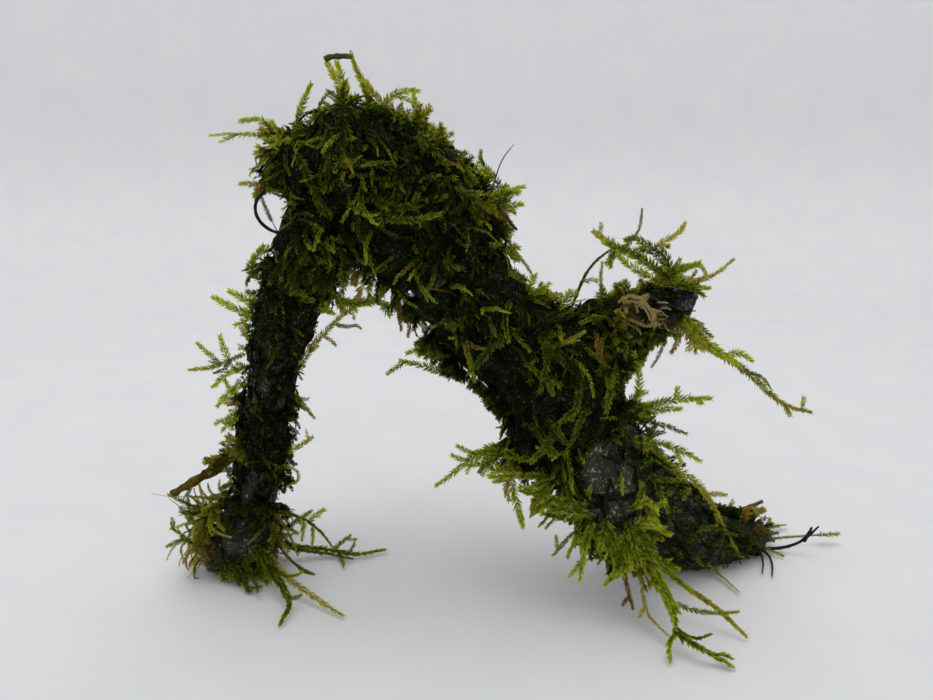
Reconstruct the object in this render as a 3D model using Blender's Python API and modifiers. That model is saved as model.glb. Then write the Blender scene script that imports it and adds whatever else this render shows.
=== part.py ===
"""Java moss grown over a forked piece of driftwood that stands as an arch on two feet.

Metres, +Z up. The origin lies on the surface that the piece stands on, under the middle of its outline.
+X runs from the left foot to the right foot, and -Y is the side that is seen first.

Routes and centres are in millimetres: (x, y, z) for a frond, (x, y, z, radius) for wood and moss cushions.
"""

import math

import bmesh
import bpy
from mathutils import Matrix, Vector

MM = 0.001

# Driving sizes, in millimetres
GAP = 0.3
BARK_CLEARANCE = 0.8
MOSS_GAP = 1.2
WOOD_VOXEL = 1.5
MOSS_VOXEL = 1.9
FROND_VOXEL = 0.9
WOOD_TRIANGLE_AREA = 12.0
MOSS_TRIANGLE_AREA = 8.0
WOOD_SMOOTHING = 4
MOSS_SMOOTHING = 4
FROND_SMOOTHING = 1
BARK_GRAIN = 7.0
BARK_DEPTH = 1.6
MOSS_LUMP = 10.0
MOSS_LUMP_DEPTH = 4.0
MOSS_TUFT = 4.5
MOSS_TUFT_DEPTH = 1.6
FROND_RADIUS = 1.2
FROND_TIP = 0.75
FROND_TAPER = 2
ROOTLET_RADIUS = 0.4
CAP_WELD = 0.01
SLIVER = 0.02
SURFACE_REACH = 400.0

# How finely the forms are rounded and softened, and the crease angle in degrees that stays sharp
BALL_SUBDIVISIONS = 3
SOFTENING = 0.5
RELIEF_DETAIL = 1
CREASE_ANGLE = 50.0

# A limb that leans less than this, as the sine of its angle from upright, has no side of its own
NEARLY_UPRIGHT = 0.1

# The middle of the outline, as the routes below count it: the whole piece is centred on it
MIDDLE = (3.6, -1.2, 0.0)

# The grey-black wood: a leg and a thick stem that meet at the top, and the three arms of the lower fork
LEFT_LEG = (
    (-79, 0, -6, 8.4),
    (-78, 0, 2, 7.6),
    (-74, 0, 14, 6.4),
    (-71, 0, 28, 5.9),
    (-69, 0, 44, 5.7),
    (-66, 0, 58, 5.9),
    (-62, 0, 71, 6.4),
    (-57, 0, 83, 7.8),
    (-48, 1, 96, 10.5),
)
STEM = (
    (-57, 0, 88, 8.0),
    (-46, 1, 99, 11.5),
    (-33, 2, 103, 12.5),
    (-22, 1, 96, 13.0),
    (-14, -1, 83, 12.8),
    (-7, -3, 73, 12.0),
    (3, -6, 66, 12.0),
    (12, -8, 56, 13.0),
    (18, -10, 44, 13.0),
    (24, -12, 33, 10.5),
)
SIDE_BRANCH = (
    (6, -7, 63, 9.0),
    (18, -7, 70, 7.2),
    (29, -6, 74, 6.0),
    (38, -4, 76, 5.6),
    (45, -2, 78, 5.4),
)
BRANCH_KNOB = (44.5, -3, 80.5, 3.4)
FRONT_STUB = (
    (22, -12, 38, 10.5),
    (25, -15, 28, 8.0),
    (26, -18, 21, 6.0),
    (25, -19, 16, 3.8),
)
RIGHT_FOOT = (
    (22, -8, 42, 10.5),
    (35, -4, 26, 10.6),
    (45, -1, 13, 11.0),
    (55, 3, 7.6, 9.6),
    (63, 6, 5.3, 7.6),
    (71, 8, 4.6, 5.5),
    (79, 10, 4.6, 2.8),
)

# The moss cushions that the wood wears, each limb's sleeve first and then its lumps
MOSS_SLEEVES = (
    (
        (-79, 0, -6, 9.6),
        (-77, 0, 6, 9.2),
        (-74, 0, 16, 8.2),
        (-71, 0, 29, 7.7),
        (-69, 0, 44, 7.5),
        (-66, 0, 58, 7.7),
        (-62, 0, 71, 8.4),
        (-57, 0, 83, 10.5),
        (-50, 1, 94, 14.0),
    ),
    (
        (-54, 0, 98, 13.0),
        (-45, 1, 106, 19.5),
        (-34, 2, 106, 20.5),
        (-22, 1, 98, 19.5),
        (-15, -1, 84, 17.0),
        (-8, -3, 73, 15.2),
        (2, -6, 66, 15.2),
        (12, -8, 55, 16.6),
        (17, -10, 43, 16.6),
        (23, -12, 34, 12.0),
    ),
    (
        (8, -7, 64, 12.0),
        (18, -7, 70, 10.0),
        (28, -6, 74, 8.2),
        (37, -4, 76, 7.0),
        (42, -3, 77, 6.0),
    ),
    (
        (22, -12, 38, 12.0),
        (25, -15, 28, 9.6),
        (26, -18, 20, 7.6),
        (27, -19, 15, 5.0),
    ),
    (
        (53, 6, 11, 9.4),
        (60, 8, 8, 9.0),
        (67, 9, 6, 7.8),
        (74, 10, 4, 5.4),
    ),
)
MOSS_LUMPS = (
    (-50, -6, 112, 11.0),
    (-56, 2, 108, 9.0),
    (-40, -8, 116, 10.5),
    (-32, 6, 117, 11.0),
    (-38, 8, 110, 13.0),
    (-24, -8, 108, 11.0),
    (-18, 6, 105, 10.0),
    (-50, -9, 98, 8.0),
    (-14, -10, 92, 9.0),
    (6, -11, 43, 9.0),
    (14, -18, 44, 9.0),
    (24, -10, 57, 9.0),
    (8, 6, 62, 9.0),
    (25, -3, 47, 9.0),
    (-86, -2, 7, 7.0),
    (-92, -4, 12, 4.6),
    (-81, -6, 5, 5.5),
    (-72, -5, 5, 6.0),
    (-78, 8, 5, 6.5),
    (-68, 5, 4, 5.0),
    (70, 3, 4, 4.2),
    (56, 14, 6, 5.5),
)

# Where one limb ends and the next begins: a point on the cut, the way out of the fork, how far the limb
# reaches to either side and up and down from there, and how far it runs out
LIMB_ENDS = {
    "right_foot": ((32, -4, 33), (0.78, 0.28, -0.56), (-12, 30), (-40, 22), 75),
    "front_stub": ((24, -16, 31), (0.0, 0.0, -1.0), (-22, 18), (-22, 20), 60),
    "side_branch": ((18, -7, 73), (0.93, 0.05, 0.36), (-30, 30), (-14, 15), 55),
    "left_leg": ((-55, 0, 87), (-0.40, 0.0, -0.92), (-40, 40), (-36, 30), 125),
}
MOSS_ENDS = {
    "left_foot": ((-76, 0, 21), (0.0, 0.0, -1.0), (-60, 60), (-40, 40), 60),
    "crown": ((-16, -1, 87), (-0.50, 0.06, 0.86), (-60, 60), (-60, 60), 120),
}

# Fronds of java moss that stand clear of the cushions, from root to tip
FRONDS = {
    "moss_crown": (
        ((-52, -6, 117), (-60, -6, 119), (-68, -5, 120), (-78, -4, 119)),
        ((-54, -4, 116), (-60, -4, 121), (-65, -4, 124)),
        ((-54, 2, 116), (-55, 2, 125), (-51, 2, 133)),
        ((-50, 5, 119), (-49, 6, 129), (-45, 6, 132)),
        ((-43, 1, 122), (-45, 1, 132), (-46.5, -1, 138.4)),
        ((-41, 0, 122), (-43, 0, 131), (-43, -1, 136)),
        ((-36, 0, 124), (-39, 0, 132), (-40.5, -1, 138.4)),
        ((-34, 2, 123), (-29, 2, 130), (-24, 3, 131)),
        ((-27, -2, 118), (-23, -2, 124), (-20, -2, 127)),
        ((-24, -3, 114), (-20, -3, 120), (-18, -3, 123)),
        ((-10, -4, 102), (-7, -4, 111), (-9, -3, 117)),
        ((-12, -2, 103), (-4, 0, 113), (0, 1, 119)),
        ((-14, -8, 102), (-5, -9, 106), (3, -9, 108)),
        ((-12, -6, 99), (-4, -8, 103), (3, -8, 103)),
        ((-58, -4, 108), (-65, -4, 108), (-70, -4, 108)),
        ((-58, -2, 112), (-62, -2, 115), (-66, -2, 117)),
        ((-55, -10, 96), (-60, -11, 98), (-62, -11, 103), (-64, -9, 109)),
        ((-50, 12, 112), (-54, 20, 114), (-58, 26, 112)),
        ((-32, 16, 116), (-29, 24, 120), (-27, 31, 119)),
        ((-20, 14, 104), (-13, 21, 108), (-9, 27, 106)),
    ),
    "moss_left_leg": (
        ((-61, -4, 81), (-69, -5, 86), (-66, -5, 91), (-64, -5, 94)),
        ((-64, -2, 72), (-73, -3, 77), (-80, -3, 80)),
        ((-64, -1, 73), (-70, 1, 77), (-75, 1, 81)),
        ((-65, -3, 63), (-77, -4, 69), (-84, -5, 69)),
        ((-66, -2, 61), (-80, -3, 59), (-88, -3, 60)),
        ((-68, 0, 59), (-77, 0, 57), (-82, 0, 54)),
        ((-69, -3, 53), (-76, -4, 47), (-81, -4, 43)),
        ((-70, 0, 41), (-78, 0, 38), (-87, 0, 32)),
        ((-64, -3, 56), (-57, -3, 51), (-53, -3, 45)),
        ((-66, -3, 34), (-59, -3, 37), (-53, -3, 42)),
        ((-62, -3, 60), (-54, -3, 65), (-47, -4, 72), (-40, -3, 78)),
        ((-51, -3, 68), (-45, -4, 71), (-39, -4, 72)),
        ((-66, 6, 66), (-67, 13, 68), (-69, 19, 66)),
        ((-70, 6, 40), (-70, 13, 38), (-68, 18, 34)),
    ),
    "moss_left_foot": (
        ((-72, -6, 15), (-62, -8, 18), (-55, -9, 18), (-48, -12, 12)),
        ((-70, 2, 5), (-62, 5, 2.5), (-50, 8, 1.5), (-36, 9, 1.3)),
        ((-73, -6, 6), (-66, -13, 6), (-61, -20, 4), (-60, -30, 1.3)),
        ((-71, -5, 6), (-61, -16, 4), (-52, -21, 2), (-42, -26, 1.3)),
        ((-66, -4, 12), (-59, -12, 9), (-53, -15, 5)),
        ((-76, -7, 6), (-70, -14, 4), (-68, -20, 1.5)),
        ((-80, -3, 12), (-88, -5, 20), (-95, -6, 26)),
        ((-84, -4, 7), (-90, -7, 11), (-94, -8, 16)),
        ((-84, -5, 5), (-89, -8, 3), (-93, -9, 1.5)),
        ((-80, 8, 6), (-84, 18, 5), (-86, 28, 1.4)),
        ((-72, 8, 5), (-66, 19, 4), (-64, 32, 1.4)),
        ((-76, 9, 8), (-77, 17, 12), (-80, 24, 11)),
    ),
    "moss_trunk": (
        ((-14, -8, 62), (-23, -9, 62), (-32, -10, 64)),
        ((-20, -8, 72), (-25, -9, 69), (-30, -9, 66)),
        ((4, -14, 42), (-9, -14, 40), (-15, -15, 36), (-21, -16, 31)),
        ((8, -18, 41), (1, -21, 38), (-8, -22, 37)),
        ((4, -13, 42), (-1, -17, 31), (2, -19, 21)),
        ((24, -14, 53), (30, -19, 60), (29, -20, 67)),
        ((24, -12, 54), (40, -12, 54), (51, -10, 54)),
        ((26, -12, 50), (37, -12, 48), (46, -10, 44)),
        ((27, -14, 47), (39, -15, 43), (49, -13, 37)),
        ((27, -15, 46), (39, -15, 38), (49, -13, 29), (57, -12, 19), (63, -13, 9), (69, -14, 1.5)),
        ((-4, -2, 86), (1, -4, 90), (5, -4, 85)),
        ((2, 8, 72), (9, 16, 73), (14, 23, 69)),
        ((17, 6, 50), (24, 15, 48), (31, 22, 42)),
        ((-4, 8, 62), (-8, 16, 57), (-8, 21, 50)),
    ),
    "moss_side_branch": (
        ((23, -8, 77), (17, -9, 84), (19, -9, 90), (25, -9, 94)),
        ((27, -8, 78), (24, -9, 84), (21, -9, 90)),
        ((36, -7, 78), (39, -7, 83), (45, -6, 84.5), (55, -8, 91)),
        ((38, -4, 78), (36, -7, 87), (27, -8, 92), (17, -10, 98)),
        ((30, -8, 90), (30, -9, 97), (30, -9, 104)),
        ((33, -7, 89), (38, -8, 94), (42, -8, 99)),
        ((40, -6, 75), (49, -8, 70), (60, -9, 61), (72, -7, 50), (81, -6, 48)),
        ((37, -8, 74), (37, -11, 69), (34, -12, 61)),
        ((27, 0, 76), (29, 8, 80), (30, 16, 79)),
    ),
    "moss_front_stub": (
        ((26, -22, 21), (32, -29, 16), (36, -34, 10), (38, -40, 4), (50, -47, 1.4)),
        ((28, -20, 24), (36, -24, 16), (43, -28, 10), (57, -36, 1.4)),
        ((25, -22, 18), (30, -28, 12), (33, -32, 5), (36, -38, 1.5)),
        ((34, -31, 12), (44, -33, 8), (55, -32, 6)),
        ((25, -21, 17), (26, -24, 11), (30, -25, 1.5)),
        ((20, -20, 27), (15, -24, 27), (7, -26, 25)),
        ((20, -20, 25), (14, -26, 21), (8, -27, 16)),
        ((22, -21, 23), (17, -26, 19), (16, -28, 10)),
    ),
    "moss_right_foot": (
        ((69, 14, 7), (80, 15, 3.5), (92, 13, 3), (104, 12, 4)),
        ((66, 10, 8), (71, 11, 11), (77, 11, 14)),
        ((70, 12, 4), (80, 18, 2), (89, 22, 1.4)),
        ((68, 3, 4), (70, -4, 2), (73, -9, 1.4)),
        ((60, 14, 6), (62, 27, 4), (66, 45, 1.4)),
        ((52, 14, 7), (46, 25, 6), (42, 35, 1.4)),
        ((58, 13, 10), (56, 20, 15), (52, 27, 16)),
    ),
}

# Bare rootlets and twigs caught in the moss, each with its own radius
ROOTLETS = {
    "black_rootlet_loop": (
        (
            (-53, -12, 97),
            (-57, -14, 96.5),
            (-62, -14, 98.5),
            (-63.5, -14, 102),
            (-62, -14, 106),
            (-58, -13, 108),
            (-53, -11, 106),
        ),
        ROOTLET_RADIUS,
    ),
    "black_rootlet_tip": (
        ((66, 3, 4), (76, 3, 2), (83, 4, 2.2), (88, 4, 5), (91, 4, 9)),
        ROOTLET_RADIUS,
    ),
    "splinter_twig": (((-73, -6, 38), (-84, -8, 31), (-94, -9, 25)), 1.2),
    "tip_twig": (((-47, -1, 138.75), (-44, -1, 139.05), (-40.5, -1, 138.75)), 0.7),
    "amber_twig": (((62, 13, 10), (71, 15, 9.5), (78, 15, 13)), 0.8),
    "reddish_twig": (((-14, -11, 105), (-6, -12.5, 101), (0, -12.5, 95)), 0.5),
}

WOOD_LOOK = ("driftwood bark", (0.035, 0.032, 0.028), 0.45)
MOSS_LOOK = ("java moss", (0.055, 0.11, 0.018), 0.6)
ROOTLET_LOOKS = {
    "black_rootlet_loop": ("black rootlet", (0.012, 0.010, 0.009), 0.4),
    "black_rootlet_tip": ("black rootlet", (0.012, 0.010, 0.009), 0.4),
    "splinter_twig": ("brown splinter", (0.16, 0.10, 0.035), 0.6),
    "tip_twig": ("brown twig", (0.13, 0.09, 0.05), 0.6),
    "amber_twig": ("amber twig", (0.25, 0.15, 0.03), 0.5),
    "reddish_twig": ("reddish twig", (0.16, 0.05, 0.02), 0.5),
}


def clear_scene():
    for obj in list(bpy.data.objects):
        bpy.data.objects.remove(obj, do_unlink=True)


def new_collection(name):
    collection = bpy.data.collections.new(name)
    bpy.context.scene.collection.children.link(collection)
    return collection


def new_material(name, colour, roughness):
    material = bpy.data.materials.get(name)
    if material:
        return material
    material = bpy.data.materials.new(name)
    material.use_nodes = True
    surface = material.node_tree.nodes["Principled BSDF"]
    surface.inputs["Base Color"].default_value = (*colour, 1.0)
    surface.inputs["Roughness"].default_value = roughness
    surface.inputs["Metallic"].default_value = 0.0
    return material


def mesh_object(name, mesh):
    obj = bpy.data.objects.new(name, mesh)
    bpy.context.scene.collection.objects.link(obj)
    return obj


def discard(obj):
    data = obj.data
    bpy.data.objects.remove(obj, do_unlink=True)
    if data.users == 0 and isinstance(data, bpy.types.Mesh):
        bpy.data.meshes.remove(data)
    elif data.users == 0:
        bpy.data.curves.remove(data)


def evaluated_mesh(obj):
    graph = bpy.context.evaluated_depsgraph_get()
    return bpy.data.meshes.new_from_object(obj.evaluated_get(graph))


def settle(obj):
    """Gives the object the mesh that its modifiers make."""
    before = obj.data
    obj.data = evaluated_mesh(obj)
    obj.modifiers.clear()
    bpy.data.meshes.remove(before)
    return obj


def spot(place):
    """A place of the routes' frame, in metres of the piece's own frame."""
    return (Vector(place) - Vector(MIDDLE)) * MM


def tube(name, route, radii, resolution=3, steps=4):
    """A closed tapered tube along a smooth route, with its radii in millimetres."""
    curve = bpy.data.curves.new(name, "CURVE")
    curve.dimensions = "3D"
    curve.bevel_depth = MM
    curve.bevel_resolution = resolution
    curve.resolution_u = steps
    curve.use_fill_caps = True
    spline = curve.splines.new("NURBS")
    spline.points.add(len(route) - 1)
    for point, place, radius in zip(spline.points, route, radii):
        point.co = (*spot(place), 1.0)
        point.radius = radius
    spline.order_u = 3
    spline.use_endpoint_u = True
    guide = bpy.data.objects.new(name, curve)
    bpy.context.scene.collection.objects.link(guide)
    bpy.context.view_layer.update()
    mesh = evaluated_mesh(guide)
    discard(guide)
    form = bmesh.new()
    form.from_mesh(mesh)
    bmesh.ops.remove_doubles(form, verts=form.verts, dist=CAP_WELD * MM)
    bmesh.ops.recalc_face_normals(form, faces=form.faces)
    form.to_mesh(mesh)
    form.free()
    return mesh_object(name, mesh)


def limb(name, sections):
    return tube(name, [section[:3] for section in sections], [section[3] for section in sections])


def ball(name, centre, radius):
    mesh = bpy.data.meshes.new(name)
    form = bmesh.new()
    bmesh.ops.create_icosphere(form, subdivisions=BALL_SUBDIVISIONS, radius=radius * MM)
    bmesh.ops.translate(form, verts=form.verts, vec=spot(centre))
    form.to_mesh(mesh)
    form.free()
    return mesh_object(name, mesh)


def joined(name, objects):
    """One object that holds the meshes of all of these, which overlap."""
    form = bmesh.new()
    for obj in objects:
        form.from_mesh(obj.data)
        discard(obj)
    mesh = bpy.data.meshes.new(name)
    form.to_mesh(mesh)
    form.free()
    return mesh_object(name, mesh)


def roughen(obj, scale, depth):
    """Raises and sinks the surface in lumps of about one scale, half the depth each way."""
    clouds = bpy.data.textures.new(f"{obj.name} relief", "CLOUDS")
    clouds.noise_scale = scale * MM
    clouds.noise_depth = RELIEF_DETAIL
    relief = obj.modifiers.new("relief", "DISPLACE")
    relief.texture = clouds
    relief.strength = depth * MM
    relief.mid_level = 0.5


def blended(name, objects, voxel, smoothing):
    """One closed form out of overlapping ones, with its creases softened."""
    obj = joined(name, objects)
    blend = obj.modifiers.new("blend", "REMESH")
    blend.mode = "VOXEL"
    blend.voxel_size = voxel * MM
    soften = obj.modifiers.new("soften", "SMOOTH")
    soften.factor = SOFTENING
    soften.iterations = smoothing
    return obj


def thinned(obj, area_per_triangle):
    """Brings the mesh down to triangles of about so many square millimetres."""
    settle(obj)
    area = sum(face.area for face in obj.data.polygons) / MM**2
    obj.data.calc_loop_triangles()
    thin = obj.modifiers.new("thin", "DECIMATE")
    thin.ratio = min(1.0, area / area_per_triangle / len(obj.data.loop_triangles))
    thin.use_collapse_triangulate = True
    return settle(obj)


def boolean(obj, other, operation, crosses_itself=False):
    join = obj.modifiers.new(operation.lower(), "BOOLEAN")
    join.operation = operation
    join.object = other
    join.solver = "EXACT"
    join.use_self = crosses_itself
    return settle(obj)


def copy_of(obj, name):
    return mesh_object(name, obj.data.copy())


def swollen(obj, name, amount):
    """A copy whose surface stands out by so many millimetres."""
    copy = copy_of(obj, name)
    swell = copy.modifiers.new("swell", "DISPLACE")
    swell.strength = amount * MM
    swell.mid_level = 0.0
    return settle(copy)


def box(name, lowest, highest, frame):
    """A closed box between two corners, in millimetres of the given frame."""
    mesh = bpy.data.meshes.new(name)
    form = bmesh.new()
    bmesh.ops.create_cube(form, size=1.0)
    lowest = Vector(lowest) * MM
    highest = Vector(highest) * MM
    bmesh.ops.scale(form, verts=form.verts, vec=highest - lowest)
    bmesh.ops.translate(form, verts=form.verts, vec=(lowest + highest) / 2)
    bmesh.ops.transform(form, verts=form.verts, matrix=frame)
    form.to_mesh(mesh)
    form.free()
    return mesh_object(name, mesh)


def region(name, end, grow):
    """The box round a limb, from its fork outwards, grown on all sides by so many millimetres."""
    point, way_out, across, upright, length = end
    out = Vector(way_out).normalized()
    side = Vector((0, 0, 1)).cross(out)
    side = side.normalized() if side.length > NEARLY_UPRIGHT else Vector((0, 1, 0))
    if side.y < 0:
        side = -side
    up = side.cross(out)
    if up.z < 0:
        up = -up
    frame = Matrix.Translation(spot(point)) @ Matrix((side, up, out)).transposed().to_4x4()
    obj = box(
        name,
        (across[0] - grow, upright[0] - grow, -grow),
        (across[1] + grow, upright[1] + grow, length),
        frame,
    )
    form = bmesh.new()
    form.from_mesh(obj.data)
    bmesh.ops.recalc_face_normals(form, faces=form.faces)
    form.to_mesh(obj.data)
    form.free()
    return obj


def keep_largest(obj):
    """Leaves only the body with the most faces."""
    form = bmesh.new()
    form.from_mesh(obj.data)
    unseen = set(form.faces)
    bodies = []
    while unseen:
        body = {unseen.pop()}
        edge_of_body = list(body)
        while edge_of_body:
            face = edge_of_body.pop()
            near = {other for edge in face.edges if edge.is_manifold for other in edge.link_faces}
            fresh = near & unseen
            unseen -= fresh
            body |= fresh
            edge_of_body.extend(fresh)
        bodies.append(body)
    largest = max(bodies, key=len)
    loose = [face for body in bodies if body is not largest for face in body]
    bmesh.ops.delete(form, geom=loose, context="FACES")
    form.to_mesh(obj.data)
    form.free()
    return obj


def split_off(whole, name, end, gap):
    """Cuts a limb off the whole at its fork, and leaves the gap between them."""
    inner = region(f"{name} inside", end, 0.0)
    outer = region(f"{name} outside", end, gap)
    piece = keep_largest(boolean(copy_of(whole, name), inner, "INTERSECT"))
    boolean(whole, outer, "DIFFERENCE")
    discard(inner)
    discard(outer)
    return piece


def cut_at_surface(obj):
    """Takes off what lies below the surface that the piece stands on."""
    below = box(
        "below",
        (-SURFACE_REACH, -SURFACE_REACH, -SURFACE_REACH),
        (SURFACE_REACH, SURFACE_REACH, 0.0),
        Matrix.Identity(4),
    )
    boolean(obj, below, "DIFFERENCE")
    discard(below)
    return obj


def driftwood():
    """The whole forked piece of wood, before it is split at its forks."""
    limbs = [limb("limb", sections) for sections in (LEFT_LEG, STEM, SIDE_BRANCH, FRONT_STUB, RIGHT_FOOT)]
    limbs.append(ball("knob", BRANCH_KNOB[:3], BRANCH_KNOB[3]))
    form = blended("driftwood", limbs, WOOD_VOXEL, WOOD_SMOOTHING)
    roughen(form, BARK_GRAIN, BARK_DEPTH)
    return keep_largest(cut_at_surface(thinned(form, WOOD_TRIANGLE_AREA)))


def moss_cushions():
    """All the moss cushions as one uneven form, before they are split by limb."""
    cushions = [limb("sleeve", sections) for sections in MOSS_SLEEVES]
    cushions += [ball("lump", lump[:3], lump[3]) for lump in MOSS_LUMPS]
    form = blended("moss", cushions, MOSS_VOXEL, MOSS_SMOOTHING)
    roughen(form, MOSS_LUMP, MOSS_LUMP_DEPTH)
    roughen(form, MOSS_TUFT, MOSS_TUFT_DEPTH)
    return settle(form)


def frond(route):
    """One frond, thickest at its root."""
    last = len(route) - 1
    shares = [(index / last) ** FROND_TAPER for index in range(len(route))]
    radii = [FROND_RADIUS + (FROND_TIP - FROND_RADIUS) * share for share in shares]
    return tube("frond", route, radii, resolution=1, steps=3)


def moss_piece(cushion, routes, bark):
    """One limb's moss: its cushion and the fronds that grow out of it, hollow round the wood."""
    grown = [cushion, *(frond(route) for route in routes)]
    piece = blended(cushion.name, grown, FROND_VOXEL, FROND_SMOOTHING)
    cut_at_surface(thinned(piece, MOSS_TRIANGLE_AREA))
    return keep_largest(boolean(piece, bark, "DIFFERENCE", crosses_itself=True))


def keep_clear(obj, others, gap):
    """Cuts the object back to so many millimetres from the others."""
    for other in others:
        near = swollen(other, "near", gap)
        boolean(obj, near, "DIFFERENCE", crosses_itself=True)
        discard(near)
    return keep_largest(obj)


def wood_pieces(wood):
    pieces = [split_off(wood, f"driftwood_{name}", end, GAP) for name, end in LIMB_ENDS.items()]
    wood.name = "driftwood_trunk"
    return [*pieces, keep_largest(wood)]


def moss_pieces(moss, bark):
    cushions = {name: split_off(moss, f"moss_{name}", end, MOSS_GAP) for name, end in LIMB_ENDS.items()}
    leg = cushions["left_leg"]
    cushions["left_foot"] = split_off(leg, "moss_left_foot", MOSS_ENDS["left_foot"], MOSS_GAP)
    cushions["crown"] = split_off(moss, "moss_crown", MOSS_ENDS["crown"], MOSS_GAP)
    moss.name = "moss_trunk"
    cushions["trunk"] = moss
    return [moss_piece(keep_largest(cushion), FRONDS[cushion.name], bark) for cushion in cushions.values()]


def rootlets(grown):
    """The bare rootlets and twigs, cut off where they go into the moss."""
    pieces = []
    for name, (route, radius) in ROOTLETS.items():
        twig = tube(name, route, [radius] * len(route), resolution=1, steps=2)
        pieces.append(keep_clear(twig, grown, GAP))
    return pieces


def tidy_mesh(obj):
    """Takes out the slivers that the cuts leave."""
    form = bmesh.new()
    form.from_mesh(obj.data)
    bmesh.ops.triangulate(form, faces=form.faces)
    bmesh.ops.remove_doubles(form, verts=form.verts, dist=SLIVER * MM)
    bmesh.ops.dissolve_degenerate(form, edges=form.edges, dist=SLIVER * MM)
    bmesh.ops.triangulate(form, faces=form.faces)
    form.to_mesh(obj.data)
    form.free()


def finish(obj, look, parts):
    tidy_mesh(obj)
    keep_largest(obj)
    obj.data.materials.clear()
    obj.data.materials.append(new_material(*look))
    obj.data.shade_smooth()
    obj.data.set_sharp_from_angle(angle=math.radians(CREASE_ANGLE))
    bpy.context.scene.collection.objects.unlink(obj)
    parts.objects.link(obj)


def main():
    clear_scene()
    parts = new_collection("java moss on driftwood")
    wood = driftwood()
    bark = swollen(wood, "bark", BARK_CLEARANCE)
    woods = wood_pieces(wood)
    mosses = moss_pieces(moss_cushions(), bark)
    twigs = rootlets(woods + mosses)
    discard(bark)
    for obj in woods:
        finish(obj, WOOD_LOOK, parts)
    for obj in mosses:
        finish(obj, MOSS_LOOK, parts)
    for obj in twigs:
        finish(obj, ROOTLET_LOOKS[obj.name], parts)


main()
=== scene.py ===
"""Java moss grown over a forked piece of driftwood: its looks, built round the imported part.

Lengths are in millimetres until a mesh is made, in the part's own frame: +Z up, -Y towards the viewer. A
route read off the photograph has three numbers a point: its pixel across, its pixel down and its depth.
"""

import logging
import math
from collections.abc import Callable
from dataclasses import dataclass, field
from enum import Enum

import bmesh
import bpy
import numpy as np
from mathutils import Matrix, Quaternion, Vector, noise
from mathutils.bvhtree import BVHTree


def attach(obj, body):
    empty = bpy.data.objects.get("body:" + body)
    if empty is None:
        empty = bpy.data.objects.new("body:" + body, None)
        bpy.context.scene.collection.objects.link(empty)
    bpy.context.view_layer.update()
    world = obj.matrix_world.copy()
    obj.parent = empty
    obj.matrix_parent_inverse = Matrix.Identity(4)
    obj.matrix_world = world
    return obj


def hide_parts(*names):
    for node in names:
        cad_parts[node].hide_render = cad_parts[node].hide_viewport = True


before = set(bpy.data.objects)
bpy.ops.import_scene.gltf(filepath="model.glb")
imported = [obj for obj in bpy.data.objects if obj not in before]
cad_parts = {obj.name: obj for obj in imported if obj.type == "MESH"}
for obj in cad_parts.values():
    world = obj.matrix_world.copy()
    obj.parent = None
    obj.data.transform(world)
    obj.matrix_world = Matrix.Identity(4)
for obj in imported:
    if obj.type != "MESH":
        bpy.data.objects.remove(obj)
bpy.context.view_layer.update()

log = logging.getLogger("java moss")

MM = 0.001
BODY = "root"

# What the routes are counted from, as the part's own source has it
MIDDLE = Vector((3.6, -1.2, 0.0))

# No leaf or stem goes lower than this over the surface that the piece stands on, nor a shoot's middle line
FLOOR_CLEARANCE = 0.25
LINE_CLEARANCE = 1.1

# The name of the map whose two coordinates pick a leaf's shade and its tone
PALETTE_MAP = "OFBake"

# The seed of the noise that the bare bark's rims wander by. Without one it would come from the clock
NOISE_SEED = 7

Route = tuple[tuple[float, float, float], ...]


class Tone(Enum):
    """The row of the palette that a shoot takes its colour from."""

    GREEN = 0.125
    OLIVE = 0.375
    AMBER = 0.625
    STRAW = 0.875


GREEN, OLIVE, AMBER, STRAW = Tone


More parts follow.
